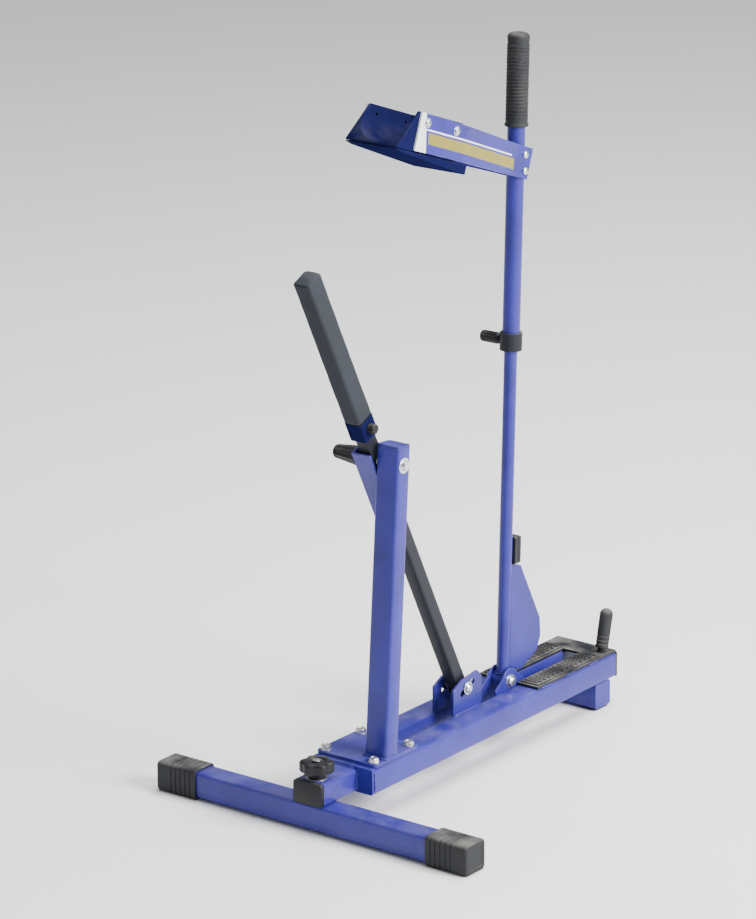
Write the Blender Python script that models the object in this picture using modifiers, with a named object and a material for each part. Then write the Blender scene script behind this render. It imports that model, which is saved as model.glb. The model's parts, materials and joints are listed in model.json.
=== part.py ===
"""Manual lever-arm baseball pitching machine, modelled in metres with +Z up.

+X is the operator's left and -Y is the direction of the throw. The origin lies on the ground, under the
middle of the machine. Lengths along the base are measured from the front edge of the cross foot and are
moved back by FRONT_TO_ORIGIN at the end of each placement.
"""
import math

import bmesh
import bpy
from mathutils import Matrix, Vector

# Driving dimensions of the base
FRONT_TO_ORIGIN = 0.33855
GAP = 0.0003
TUBE = 0.038
TUBE_WALL = 0.002
FOOT_LENGTH = 0.543
FOOT_CENTRE_Y = 0.0223
BOOT_LENGTH = 0.070
BOOT_WALL = 0.003
RAIL_FRONT_Y = 0.085
RAIL_REAR_Y = 0.675
RAIL_SPACING = 0.067
REAR_FOOT_Y = 0.644
PLATE_THICKNESS = 0.005
SADDLE_WIDTH = 0.050
SADDLE_HEIGHT = 0.034
FOOT_SCREW_RADIUS = 0.0042
FOOT_PLATE_THICKNESS = 0.004
MAT_REAR_Y = 0.638
HEEL_PEG_X = 0.0400
HEEL_PEG_Y = 0.6545
HEEL_PEG_LEAN = math.radians(13.0)
HEEL_PEG_RADIUS = 0.006
HEEL_SLEEVE_RADIUS = 0.0098
HEEL_SLEEVE_TOP = 0.0655

# Driving dimensions of the upright post and its head
POST_X = 0.0335
POST_WIDTH = 0.038
POST_DEPTH = 0.028
POST_FOOT_Y = 0.125
POST_LEAN = math.radians(4.3)
POST_TOP_Z = 0.527

# Driving dimensions of the slanted stop bar
BAR_HEAD_Y = 0.1554
BAR_HEAD_Z = 0.503
BAR_LEAN = math.radians(26.4)
BAR_SIZE = 0.022
BAR_BELOW_HEAD = 0.4445
BAR_ABOVE_HEAD = 0.322
BAR_KNOB_PROFILE = (
    (0.0120, -0.0002),
    (0.0125, -0.0030),
    (0.0140, -0.0060),
    (0.0138, -0.0110),
    (0.0101, -0.0420),
    (0.0086, -0.0455),
    (0.0, -0.0465),
)
ARM_KNOB_PROFILE = (
    (0.0068, -0.0015),
    (0.0085, -0.006),
    (0.0085, -0.031),
    (0.0072, -0.034),
    (0.0, -0.034),
)
PAD_START = 0.075
PAD_WIDTH = 0.028
PAD_DEPTH = 0.031

# Driving dimensions of the throwing arm
PIVOT_Y = 0.460
PIVOT_Z = 0.090
ARM_LEAN = math.radians(2.2)
LOWER_TUBE_RADIUS = 0.0095
UPPER_TUBE_RADIUS = 0.0127
ARM_TUBE_WALL = 0.0018
LOWER_TUBE_TOP = 0.600
UPPER_TUBE_FOOT = 0.495
UPPER_TUBE_TOP = 0.944
GRIP_FOOT = 0.818
GRIP_RADIUS = 0.0160

# Driving dimensions of the ball carrier, in a frame that tips up towards the throw
CARRIER_Z = 0.857
CARRIER_LEAN = math.radians(20.0)
CARRIER_LENGTH = 0.3086
CARRIER_HALF_WIDTH = 0.0475
CARRIER_SHEET = 0.003
CARRIER_BOLT_LIFTS = (0.7560, 0.7792)
CUP_BOLTS = (0.222, 0.292)
CUP_BOLT_LIFT = 0.014
CUP_REAR = 0.2045
CUP_FRONT = 0.3455
CUP_FLOOR = -0.0268
BALL_RADIUS = 0.0365

# Heights that follow from the tubes
FOOT_BOTTOM = BOOT_WALL + GAP
FOOT_TOP = FOOT_BOTTOM + TUBE
RAIL_BOTTOM = FOOT_TOP + GAP
RAIL_TOP = RAIL_BOTTOM + TUBE
PLATE_BOTTOM = RAIL_TOP + GAP

BLUE = ("blue_paint", (0.06, 0.09, 0.42), 0.30, 0.0)
NAVY = ("navy_plastic", (0.015, 0.018, 0.075), 0.40, 0.0)
BLACK = ("black_paint", (0.02, 0.02, 0.024), 0.45, 0.0)
RUBBER = ("black_rubber", (0.03, 0.03, 0.033), 0.80, 0.0)
FOAM = ("black_foam", (0.035, 0.036, 0.045), 0.90, 0.0)
STEEL = ("zinc_steel", (0.62, 0.63, 0.65), 0.35, 1.0)
NYLON = ("white_nylon", (0.75, 0.74, 0.70), 0.50, 0.0)


def clear_scene():
    """Remove every object and leave two collections, one for parts and one for cutters."""
    for obj in list(bpy.data.objects):
        bpy.data.objects.remove(obj, do_unlink=True)
    collections = []
    for name in ("pitching_machine", "cutters"):
        collection = bpy.data.collections.new(name)
        bpy.context.scene.collection.children.link(collection)
        collections.append(collection)
    return collections


PARTS, CUTTERS = clear_scene()


def material_for(name, finish):
    """A Principled material of the part's own, with its colour, roughness and metallic value."""
    label, colour, roughness, metallic = finish
    material = bpy.data.materials.new(f"{name}_{label}")
    material.use_nodes = True
    shader = material.node_tree.nodes["Principled BSDF"]
    shader.inputs["Base Color"].default_value = (*colour, 1.0)
    shader.inputs["Roughness"].default_value = roughness
    shader.inputs["Metallic"].default_value = metallic
    return material


def frame(name, location, lean=0.0, parent=None):
    """An empty that carries the pieces of one sub-assembly, leaning about X."""
    empty = bpy.data.objects.new(name, None)
    empty.location = location
    empty.rotation_euler = (lean, 0.0, 0.0)
    empty.parent = parent
    PARTS.objects.link(empty)
    return empty


def node(name, mesh, finish, parent=None, location=(0.0, 0.0, 0.0), rotation=(0.0, 0.0, 0.0)):
    """Place a mesh as one named piece of the machine."""
    obj = bpy.data.objects.new(name, mesh)
    obj.location = location
    obj.rotation_euler = rotation
    obj.parent = parent
    mesh.materials.append(material_for(name, finish))
    PARTS.objects.link(obj)
    return obj


def cutter(name, mesh, parent=None, location=(0.0, 0.0, 0.0), rotation=(0.0, 0.0, 0.0)):
    """Place a mesh as a hidden tool for Boolean modifiers."""
    obj = bpy.data.objects.new(name, mesh)
    obj.location = location
    obj.rotation_euler = rotation
    obj.parent = parent
    obj.hide_render = True
    obj.display_type = "WIRE"
    CUTTERS.objects.link(obj)
    return obj


def boolean(target, tool, operation="DIFFERENCE", solver="EXACT"):
    """Cut or join with a Boolean modifier. Long hollow tubes take the MANIFOLD solver."""
    modifier = target.modifiers.new(f"{operation.lower()}_{tool.name}", "BOOLEAN")
    modifier.operation = operation
    modifier.solver = solver
    modifier.object = tool


def round_edges(obj, width, segments=1, angle=40.0):
    """Round the sharp edges with a Bevel modifier."""
    modifier = obj.modifiers.new("rounded_edges", "BEVEL")
    modifier.width = width
    modifier.segments = segments
    modifier.limit_method = "ANGLE"
    modifier.angle_limit = math.radians(angle)


def tidy_mesh(mesh, smooth_angle=35.0):
    """Weld, face the normals outwards and shade the round stretches smooth."""
    shape = bmesh.new()
    shape.from_mesh(mesh)
    bmesh.ops.remove_doubles(shape, verts=shape.verts, dist=0.00001)
    bmesh.ops.recalc_face_normals(shape, faces=shape.faces)
    shape.to_mesh(mesh)
    shape.free()
    mesh.shade_smooth()
    mesh.set_sharp_from_angle(angle=math.radians(smooth_angle))
    return mesh


def mesh_of(obj):
    """The evaluated mesh of a helper object, which is then removed."""
    bpy.context.scene.collection.objects.link(obj)
    depsgraph = bpy.context.evaluated_depsgraph_get()
    mesh = bpy.data.meshes.new_from_object(obj.evaluated_get(depsgraph))
    bpy.data.objects.remove(obj, do_unlink=True)
    return mesh


def box_mesh(size, centre=(0.0, 0.0, 0.0)):
    """A box of a given size round a centre."""
    mesh = bpy.data.meshes.new("box")
    shape = bmesh.new()
    bmesh.ops.create_cube(shape, size=1.0)
    bmesh.ops.scale(shape, vec=Vector(size), verts=shape.verts)
    bmesh.ops.translate(shape, vec=Vector(centre), verts=shape.verts)
    shape.to_mesh(mesh)
    shape.free()
    return mesh


def round_loop(radius, count=24, centre=(0.0, 0.0)):
    """Points round a circle."""
    angles = [2.0 * math.pi * step / count for step in range(count)]
    return [(centre[0] + radius * math.cos(a), centre[1] + radius * math.sin(a)) for a in angles]


def rectangle_loop(width, height, radius, steps=3, centre=(0.0, 0.0)):
    """A rectangle with round corners."""
    points = []
    for corner, (sx, sy) in enumerate(((1, 1), (-1, 1), (-1, -1), (1, -1))):
        cx = centre[0] + sx * (width / 2.0 - radius)
        cy = centre[1] + sy * (height / 2.0 - radius)
        for step in range(steps + 1):
            angle = math.pi / 2.0 * (corner + step / steps)
            points.append((cx + radius * math.cos(angle), cy + radius * math.sin(angle)))
    return points


def slot_loop(length, radius, direction, centre, steps=6):
    """A slot with round ends, its middle line running along a direction."""
    heading = math.atan2(direction[1], direction[0])
    points = []
    for side in (0, 1):
        reach = (length / 2.0) * (1 - 2 * side)
        end = (centre[0] + reach * math.cos(heading), centre[1] + reach * math.sin(heading))
        for step in range(steps + 1):
            angle = heading + math.pi * (side - 0.5 + step / steps)
            points.append((end[0] + radius * math.cos(angle), end[1] + radius * math.sin(angle)))
    return points


def outline_mesh(loops, length, axis="Z", centre=(0.0, 0.0, 0.0), smooth_angle=35.0):
    """Extrude flat closed loops along an axis. Inner loops are holes.

    Loop points are (y, z) for X, (x, z) for Y and (x, y) for Z.
    """
    curve = bpy.data.curves.new("outline", "CURVE")
    curve.dimensions = "2D"
    curve.fill_mode = "BOTH"
    curve.extrude = length / 2.0
    for loop in loops:
        spline = curve.splines.new("POLY")
        spline.points.add(len(loop) - 1)
        for point, (a, b) in zip(spline.points, loop):
            point.co = (a, b, 0.0, 1.0)
        spline.use_cyclic_u = True
    mesh = mesh_of(bpy.data.objects.new("outline", curve))
    turns = {
        "X": Matrix(((0, 0, 1, 0), (1, 0, 0, 0), (0, 1, 0, 0), (0, 0, 0, 1))),
        "Y": Matrix(((1, 0, 0, 0), (0, 0, -1, 0), (0, 1, 0, 0), (0, 0, 0, 1))),
        "Z": Matrix.Identity(4),
    }
    mesh.transform(Matrix.Translation(centre) @ turns[axis])
    return tidy_mesh(mesh, smooth_angle)


def turned_mesh(profile, steps=20, axis="Z", centre=(0.0, 0.0, 0.0)):
    """Turn a profile of (radius, height) points, top to bottom, about an axis."""
    mesh = bpy.data.meshes.new("profile")
    shape = bmesh.new()
    points = [shape.verts.new((radius, 0.0, height)) for radius, height in profile]
    for first, second in zip(points, points[1:]):
        shape.edges.new((first, second))
    if profile[0][0] > 0.0:
        shape.edges.new((points[-1], points[0]))
    shape.to_mesh(mesh)
    shape.free()
    helper = bpy.data.objects.new("turned", mesh)
    screw = helper.modifiers.new("turn", "SCREW")
    screw.steps = steps
    screw.render_steps = steps
    screw.use_merge_vertices = True
    screw.merge_threshold = 0.00001
    turned = mesh_of(helper)
    turns = {
        "X": Matrix.Rotation(math.radians(90.0), 4, "Y"),
        "Y": Matrix.Rotation(math.radians(-90.0), 4, "X"),
        "Z": Matrix.Identity(4),
    }
    turned.transform(Matrix.Translation(centre) @ turns[axis])
    return tidy_mesh(turned)


def pipe_mesh(outer, inner, length, axis="Z", centre=(0.0, 0.0, 0.0), count=24):
    """A round tube, open at both ends."""
    return outline_mesh([round_loop(outer, count), round_loop(inner, count)], length, axis, centre)


def nut_mesh(radius, bore, height, axis="Z", centre=(0.0, 0.0, 0.0)):
    """A hexagon nut with a round bore."""
    return outline_mesh([round_loop(radius, 6), round_loop(bore, 18)], height, axis, centre)


def bolt_profile(shank, head, head_height, length):
    """A button-head bolt whose head rises from zero and whose shank hangs below it."""
    return [
        (0.0, head_height),
        (head * 0.55, head_height),
        (head * 0.9, head_height * 0.6),
        (head, 0.0),
        (shank, 0.0),
        (shank, -length),
        (0.0, -length),
    ]


def knob_mesh(radius, height, bore, lobes=6, axis="Z", centre=(0.0, 0.0, 0.0)):
    """A moulded hand knob with a scalloped rim, bored for its screw."""
    rim = []
    count = lobes * 6
    for step in range(count):
        angle = 2.0 * math.pi * step / count
        reach = radius * (1.0 - 0.07 * (1.0 + math.cos(lobes * angle)))
        rim.append((reach * math.cos(angle), reach * math.sin(angle)))
    return outline_mesh([rim, round_loop(bore, 16)], height, axis, centre, 50.0)


def at_base(y, x=0.0, z=0.0):
    """A place on the machine from its distance behind the front edge of the cross foot."""
    return (x, y - FRONT_TO_ORIGIN, z)


def make_front_foot():
    """The cross foot that the front of the base clamps to, with its rubber boots."""
    root = frame("foot_axis", at_base(FOOT_CENTRE_Y))
    middle = (FOOT_BOTTOM + FOOT_TOP) / 2.0
    inner = TUBE - 2.0 * TUBE_WALL
    loops = [
        rectangle_loop(TUBE, TUBE, 0.004),
        rectangle_loop(inner, inner, 0.002),
    ]
    length = FOOT_LENGTH - 2.0 * (BOOT_WALL + GAP)
    tube = node("front_foot_tube", outline_mesh(loops, length, "X", (0.0, 0.0, middle)), BLUE, root)
    hole = cutter("foot_screw_hole", pipe_solid(0.0055, 0.03), root, (0.0, 0.0, FOOT_TOP))
    boolean(tube, hole, solver="MANIFOLD")
    nut = nut_mesh(0.0085, 0.0046, 0.008, "Z", (0.0, 0.0, -0.004))
    node("foot_clamp_nut", nut, STEEL, root, (0.0, 0.0, FOOT_TOP - TUBE_WALL - GAP))
    for side, sign in (("left", 1.0), ("right", -1.0)):
        make_foot_boot(root, side, sign, middle)


def pipe_solid(radius, length, axis="Z", count=20):
    """A plain round bar, used to bore holes."""
    return outline_mesh([round_loop(radius, count)], length, axis)


def make_foot_boot(root, side, sign, middle):
    """One rubber boot over the end of the cross foot, slightly crowned."""
    outer = TUBE + 2.0 * (BOOT_WALL + GAP)
    centre_x = sign * (FOOT_LENGTH - BOOT_LENGTH) / 2.0
    block = outline_mesh([rectangle_loop(outer, outer, 0.006)], BOOT_LENGTH, "X", (centre_x, 0.0, middle))
    boot = node(f"foot_boot_{side}", block, RUBBER, root)
    pocket_size = TUBE + 2.0 * GAP
    pocket_loop = [rectangle_loop(pocket_size, pocket_size, 0.004)]
    pocket_x = centre_x - sign * (BOOT_WALL + 0.001)
    pocket = outline_mesh(pocket_loop, BOOT_LENGTH + 0.002, "X", (pocket_x, 0.0, middle))
    boolean(boot, cutter(f"boot_pocket_{side}", pocket, root))


def make_foot_clamp():
    """The hand knob and screw that clamp the base to its cross foot."""
    root = frame("foot_clamp_axis", at_base(FOOT_CENTRE_Y, z=RAIL_BOTTOM + SADDLE_HEIGHT))
    knob_shape = knob_mesh(0.0245, 0.018, 0.0045, 6, "Z", (0.0, 0.0, 0.0165))
    knob = node("foot_clamp_knob", knob_shape, BLACK, root)
    hub = pipe_mesh(0.0120, 0.0045, 0.0080, "Z", (0.0, 0.0, 0.0045), 20)
    boolean(knob, cutter("foot_knob_hub", hub, root), "UNION")
    reach = SADDLE_HEIGHT + 0.012
    profile = [(0.0, 0.0265), (0.006, 0.0265), (0.006, 0.0258), (FOOT_SCREW_RADIUS, 0.0258)]
    profile += [(FOOT_SCREW_RADIUS, -reach), (0.0, -reach)]
    node("foot_clamp_screw", turned_mesh(profile, 16), STEEL, root)


def make_rails():
    """Two parallel square tubes that form the base, with plugs in their rear ends."""
    inner = TUBE - 2.0 * TUBE_WALL
    loops = [rectangle_loop(TUBE, TUBE, 0.004), rectangle_loop(inner, inner, 0.002)]
    length = RAIL_REAR_Y - RAIL_FRONT_Y
    middle = (RAIL_BOTTOM + RAIL_TOP) / 2.0
    for side, sign in (("left", 1.0), ("right", -1.0)):
        place = at_base((RAIL_FRONT_Y + RAIL_REAR_Y) / 2.0, sign * RAIL_SPACING / 2.0, middle)
        node(f"base_rail_{side}", outline_mesh(loops, length, "Y"), BLUE, None, place)
        plug_place = at_base(RAIL_REAR_Y, sign * RAIL_SPACING / 2.0, middle)
        plug = node(f"rail_plug_{side}", plug_mesh(inner), RUBBER, None, plug_place)
        round_edges(plug, 0.0012, 2)


def plug_mesh(inner):
    """A ribbed end plug: a flange outside the tube and a spigot inside it."""
    flange = 0.004
    spigot = 0.016
    mesh = bpy.data.meshes.new("plug")
    shape = bmesh.new()
    rows = ((TUBE, flange + GAP), (TUBE, GAP), (inner - 0.0034, GAP), (inner - 0.004, -spigot))
    loops = []
    for size, y in rows:
        corners = ((1, 1), (-1, 1), (-1, -1), (1, -1))
        loops.append([shape.verts.new((sx * size / 2.0, y, sz * size / 2.0)) for sx, sz in corners])
    for first, second in zip(loops, loops[1:]):
        for index in range(4):
            following = (index + 1) % 4
            shape.faces.new((first[index], first[following], second[following], second[index]))
    shape.faces.new(loops[0])
    shape.faces.new(loops[-1])
    shape.to_mesh(mesh)
    shape.free()
    return tidy_mesh(mesh)


def make_front_saddle():
    """The short channel and tie plate that carry the rails on the cross foot."""
    tie_thickness = 0.005
    tie_y = RAIL_FRONT_Y - GAP - tie_thickness / 2.0
    middle = (RAIL_BOTTOM + RAIL_TOP) / 2.0
    width = RAIL_SPACING + TUBE
    tie_loops = [rectangle_loop(width, TUBE, 0.003)]
    tie_mesh = outline_mesh(tie_loops, tie_thickness, "Y")
    node("front_tie_plate", tie_mesh, BLUE, None, at_base(tie_y, z=middle))
    front = 0.0065
    rear = RAIL_FRONT_Y - 2.0 * GAP - tie_thickness
    wall = 0.003
    loops = [
        rectangle_loop(SADDLE_WIDTH, SADDLE_HEIGHT, 0.005),
        rectangle_loop(SADDLE_WIDTH - 2.0 * wall, SADDLE_HEIGHT - 2.0 * wall, 0.003),
    ]
    saddle_z = RAIL_BOTTOM + SADDLE_HEIGHT / 2.0
    place = at_base((front + rear) / 2.0, z=saddle_z)
    saddle = node("front_saddle", outline_mesh(loops, rear - front, "Y"), BLUE, None, place)
    hole = cutter("saddle_screw_hole", pipe_solid(0.0055, 0.08), None, at_base(FOOT_CENTRE_Y, z=saddle_z))
    boolean(saddle, hole)
    cap_mesh = outline_mesh([rectangle_loop(SADDLE_WIDTH, SADDLE_HEIGHT, 0.005)], front - GAP, "Y")
    cap = node("saddle_end_cap", cap_mesh, BLACK, None, at_base((front - GAP) / 2.0, z=saddle_z))
    round_edges(cap, 0.0015, 2, 60.0)


def make_rear_foot():
    """The short rear cross tube with welded ends and a drain hole, and its rubber pads."""
    inner = TUBE - 2.0 * TUBE_WALL
    length = RAIL_SPACING + TUBE - 0.003
    place = at_base(REAR_FOOT_Y, z=(FOOT_BOTTOM + FOOT_TOP) / 2.0)
    mesh = outline_mesh([rectangle_loop(TUBE, TUBE, 0.004)], length, "X")
    tube = node("rear_foot_tube", mesh, BLUE, None, place)
    boolean(tube, cutter("rear_foot_hollow", box_mesh((length - 0.004, inner, inner)), None, place))
    boolean(tube, cutter("rear_foot_drain", pipe_solid(0.004, 0.03), None, at_base(REAR_FOOT_Y)))
    for side, sign in (("left", 1.0), ("right", -1.0)):
        pad_place = at_base(REAR_FOOT_Y, sign * 0.034, BOOT_WALL / 2.0)
        pad_mesh = outline_mesh([rectangle_loop(0.030, 0.034, 0.004)], BOOT_WALL, "Z")
        node(f"rear_foot_pad_{side}", pad_mesh, RUBBER, None, pad_place)


def make_post():
    """The upright post on its foot plate, with its cap."""
    plate_width = RAIL_SPACING + TUBE
    loops = [rectangle_loop(plate_width, 0.100, 0.006)]
    plate_z = PLATE_BOTTOM + PLATE_THICKNESS / 2.0
    plate_y = POST_FOOT_Y + 0.012
    plate_mesh = outline_mesh(loops, PLATE_THICKNESS, "Z")
    node("post_foot_plate", plate_mesh, BLUE, None, at_base(plate_y, z=plate_z))
    make_post_tube(PLATE_BOTTOM + PLATE_THICKNESS + GAP)


def make_post_tube(foot_z):
    """The leaning rectangular tube, cut level at its foot and bored for the head bolt."""
    inner_width = POST_WIDTH - 2.0 * TUBE_WALL
    inner_depth = POST_DEPTH - 2.0 * TUBE_WALL
    loops = [
        rectangle_loop(POST_WIDTH, POST_DEPTH, 0.004),
        rectangle_loop(inner_width, inner_depth, 0.002),
    ]
    root = frame("post_axis", at_base(POST_FOOT_Y, POST_X, foot_z), -POST_LEAN)
    length = (POST_TOP_Z - foot_z) / math.cos(POST_LEAN)
    mesh = outline_mesh(loops, length + 0.01, "Z", (0.0, 0.0, length / 2.0 - 0.005))
    post = node("upright_post", mesh, BLUE, root)
    ground_place = at_base(POST_FOOT_Y, POST_X, foot_z - 0.025)
    ground = cutter("post_foot_cut", box_mesh((0.1, 0.1, 0.05)), None, ground_place)
    boolean(post, ground, solver="MANIFOLD")
    bore_place = at_base(BAR_HEAD_Y, POST_X, BAR_HEAD_Z)
    bore = cutter("post_head_bore", pipe_solid(0.0047, 0.08, "X"), None, bore_place)
    boolean(post, bore, solver="MANIFOLD")
    cap_loops = [rectangle_loop(POST_WIDTH, POST_DEPTH, 0.004)]
    cap = outline_mesh(cap_loops, 0.003, "Z", (0.0, 0.0, length + 0.0015 + GAP))
    node("post_cap", cap, BLUE, root)


def make_head():
    """The folded bracket beside the post and the bolt that the stop bar turns on."""
    root = frame("head_axis", at_base(BAR_HEAD_Y, z=BAR_HEAD_Z), BAR_LEAN)
    wall = 0.003
    post_face = POST_X - POST_WIDTH / 2.0
    outer = -post_face - wall - 0.0005
    front = -BAR_SIZE / 2.0 - 0.0042
    plan = [
        (post_face - GAP, front),
        (post_face - GAP, front - wall),
        (outer, front - wall),
        (outer, 0.013),
        (outer + wall, 0.013),
        (outer + wall, front),
    ]
    low = -0.118
    high = 0.022
    mesh = outline_mesh([plan], high - low, "Z", (0.0, 0.0, (high + low) / 2.0))
    bracket = node("head_bracket", mesh, BLUE, root)
    bore = cutter("bracket_bore", pipe_solid(0.0047, 0.05, "X"), root, (outer, 0.0, 0.0))
    boolean(bracket, bore)
    post_far = POST_X + POST_WIDTH / 2.0
    reach = post_far - outer + 0.020
    profile = [(0.0, 0.006), (0.0055, 0.006), (0.0075, 0.0), (0.004, 0.0), (0.004, -reach), (0.0, -reach)]
    bolt_place = (post_far + GAP, 0.0, 0.0)
    node("head_bolt", turned_mesh(profile, 16, "X"), STEEL, root, bolt_place)
    spacer_length = post_face - BAR_SIZE / 2.0 - 2.0 * GAP
    spacer = pipe_mesh(0.0085, 0.0045, spacer_length, "X", count=20)
    reach = BAR_SIZE / 2.0 + GAP + spacer_length / 2.0
    for side, sign in (("left", 1.0), ("right", -1.0)):
        node(f"bar_spacer_{side}", spacer.copy(), NYLON, root, (sign * reach, 0.0, 0.0))
    knob_root = frame("bar_clamp_axis", (outer - 0.001, 0.0, 0.0), 0.0, root)
    node("bar_clamp_knob", knob_shell(BAR_KNOB_PROFILE, 0.0044, 0.0225), BLACK, knob_root)


def make_bar_foot_lugs():
    """Two slotted lugs on the rails that guide the foot of the stop bar."""
    foot_y, foot_z = bar_point(-BAR_BELOW_HEAD + 0.010)
    direction = (math.cos(BAR_LEAN), math.sin(BAR_LEAN))
    thickness = 0.004
    low = PLATE_BOTTOM
    outline = [
        (foot_y - 0.034, low),
        (foot_y + 0.034, low),
        (foot_y + 0.034, foot_z + 0.010),
        (foot_y + 0.024, foot_z + 0.020),
        (foot_y - 0.012, foot_z + 0.015),
        (foot_y - 0.034, foot_z + 0.004),
    ]
    slot = slot_loop(0.0275, 0.0046, direction, (foot_y, foot_z))
    for side, sign in (("left", 1.0), ("right", -1.0)):
        x = sign * (RAIL_SPACING / 2.0 - TUBE / 2.0 + 0.0005 + thickness / 2.0)
        mesh = outline_mesh([outline, slot], thickness, "X")
        node(f"bar_foot_lug_{side}", mesh, BLUE, None, at_base(0.0, x, 0.0))


def bar_point(along):
    """The (y, z) place on the bar's middle line, measured up from the head bolt."""
    return (BAR_HEAD_Y - along * math.sin(BAR_LEAN), BAR_HEAD_Z + along * math.cos(BAR_LEAN))


def make_stop_bar():
    """The slanted stop bar, its padded top, collar and foot bolt."""
    root = frame("bar_axis", at_base(BAR_HEAD_Y, z=BAR_HEAD_Z), BAR_LEAN)
    wall = 0.002
    loops = [
        rectangle_loop(BAR_SIZE, BAR_SIZE, 0.003),
        rectangle_loop(BAR_SIZE - 2.0 * wall, BAR_SIZE - 2.0 * wall, 0.0012),
    ]
    length = BAR_BELOW_HEAD + BAR_ABOVE_HEAD - 0.004
    middle = (0.0, 0.0, (BAR_ABOVE_HEAD - 0.004 - BAR_BELOW_HEAD) / 2.0)
    bar = node("stop_bar", outline_mesh(loops, length, "Z", middle), BLACK, root)
    boolean(bar, cutter("bar_head_bore", pipe_solid(0.0045, 0.05, "X"), root))
    foot = -BAR_BELOW_HEAD + 0.010
    boolean(bar, cutter("bar_foot_bore", pipe_solid(0.0044, 0.05, "X"), root, (0.0, 0.0, foot)))
    make_bar_foot_bolt(root, foot)
    make_pad(root)
    make_bar_collar(root)


def make_bar_foot_bolt(root, foot):
    """The bolt and nut through the slots of the lugs."""
    lug_outer = RAIL_SPACING / 2.0 - TUBE / 2.0 + 0.0045
    reach = 2.0 * lug_outer + 0.009
    bolt = turned_mesh(bolt_profile(0.004, 0.0075, 0.005, reach), 16, "X")
    node("bar_foot_bolt", bolt, STEEL, root, (lug_outer + 0.0005, 0.0, foot))
    nut = nut_mesh(0.0075, 0.0044, 0.0065, "X", (-0.00325, 0.0, 0.0))
    node("bar_foot_nut", nut, STEEL, root, (-lug_outer - 0.0005, 0.0, foot))


def make_pad(root):
    """The foam sleeve that the arm strikes, closed over the top of the bar."""
    length = BAR_ABOVE_HEAD - PAD_START
    middle = (PAD_START + BAR_ABOVE_HEAD) / 2.0
    block = outline_mesh([rectangle_loop(PAD_WIDTH, PAD_DEPTH, 0.004)], length, "Z", (0.0, 0.0, middle))
    pad = node("stop_pad", block, FOAM, root)
    size = BAR_SIZE + 2.0 * GAP
    reach = length - 0.0037
    pocket_loops = [rectangle_loop(size, size, 0.003)]
    pocket = outline_mesh(pocket_loops, reach + 0.01, "Z", (0.0, 0.0, PAD_START + (reach - 0.01) / 2.0))
    boolean(pad, cutter("pad_pocket", pocket, root))


def make_bar_collar(root):
    """The square collar under the pad with its side screw."""
    size = BAR_SIZE + 2.0 * GAP
    height = 0.030
    middle = PAD_START - 0.0005 - height / 2.0
    loops = [rectangle_loop(0.030, 0.032, 0.005), rectangle_loop(size, size, 0.003)]
    collar = node("bar_collar", outline_mesh(loops, height, "Z", (0.0, 0.0, middle)), NAVY, root)
    boolean(collar, cutter("collar_bore", pipe_solid(0.0027, 0.03, "X"), root, (0.015, 0.0, middle)))
    profile = [(0.0, 0.014), (0.006, 0.014), (0.007, 0.012), (0.007, 0.004), (0.0024, 0.004)]
    profile += [(0.0024, 0.0), (0.0, 0.0)]
    screw = turned_mesh(profile, 14, "X", (BAR_SIZE / 2.0 + GAP, 0.0, middle))
    node("bar_collar_screw", screw, BLACK, root)


def make_pivot():
    """The plates between the rails that hold the arm's pivot, with the pin and bushes."""
    thickness = 0.003
    outer = RAIL_SPACING / 2.0 - TUBE / 2.0 - GAP
    outline = [(-0.036, -0.044), (0.036, -0.044), (0.036, -0.006)]
    crown = [math.radians(20 * step) for step in range(1, 9)]
    outline += [(0.020 * math.cos(angle), 0.020 * math.sin(angle)) for angle in crown]
    outline += [(-0.036, -0.006)]
    for side, sign in (("left", 1.0), ("right", -1.0)):
        x = sign * (outer - thickness / 2.0)
        mesh = outline_mesh([outline, round_loop(0.0053, 20)], thickness, "X")
        node(f"pivot_plate_{side}", mesh, BLUE, None, at_base(PIVOT_Y, x, PIVOT_Z))
        flange = outer - thickness - GAP
        profile = [(0.0053, flange), (0.0085, flange), (0.0085, flange - 0.0008)]
        profile += [(0.0070, flange - 0.0008), (0.0070, 0.0015), (0.0053, 0.0015)]
        bush = turned_mesh(profile, 20, "X")
        turn = (0.0, 0.0, 0.0) if sign > 0.0 else (0.0, 0.0, math.pi)
        node(f"pivot_bush_{side}", bush, NYLON, None, at_base(PIVOT_Y, 0.0, PIVOT_Z), turn)
    reach = 2.0 * outer + 0.009
    pin = turned_mesh(bolt_profile(0.005, 0.0085, 0.0055, reach), 20, "X")
    node("arm_pivot_pin", pin, STEEL, None, at_base(PIVOT_Y, outer + 0.001, PIVOT_Z))
    nut = nut_mesh(0.0085, 0.0054, 0.0075, "X", (-0.00375, 0.0, 0.0))
    node("arm_pivot_nut", nut, STEEL, None, at_base(PIVOT_Y, -outer - 0.001, PIVOT_Z))


def make_foot_plate():
    """The slotted plate that the operator stands on, with its two grip mats."""
    front = 0.4755
    rear = RAIL_REAR_Y
    slot_end = 0.634
    half = (RAIL_SPACING + TUBE) / 2.0
    slot = 0.0150
    thickness = FOOT_PLATE_THICKNESS
    outline = [
        (-half, front),
        (-slot, front),
        (-slot, slot_end),
        (slot, slot_end),
        (slot, front),
        (half, front),
        (half, rear),
        (-half, rear),
    ]
    plate = outline_mesh([outline], thickness, "Z", (0.0, 0.0, PLATE_BOTTOM + thickness / 2.0))
    node("foot_plate", plate, BLACK, None, at_base(0.0))
    mat_low = PLATE_BOTTOM + thickness + GAP
    width = half - slot - 0.006
    ribs = 14
    mat_front = front + 0.005
    length = MAT_REAR_Y - mat_front
    for side, sign in (("left", 1.0), ("right", -1.0)):
        place = at_base((mat_front + MAT_REAR_Y) / 2.0, sign * (slot + half) / 2.0, mat_low)
        node(f"grip_mat_{side}", mat_mesh(width, length, ribs), RUBBER, None, place)


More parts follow.
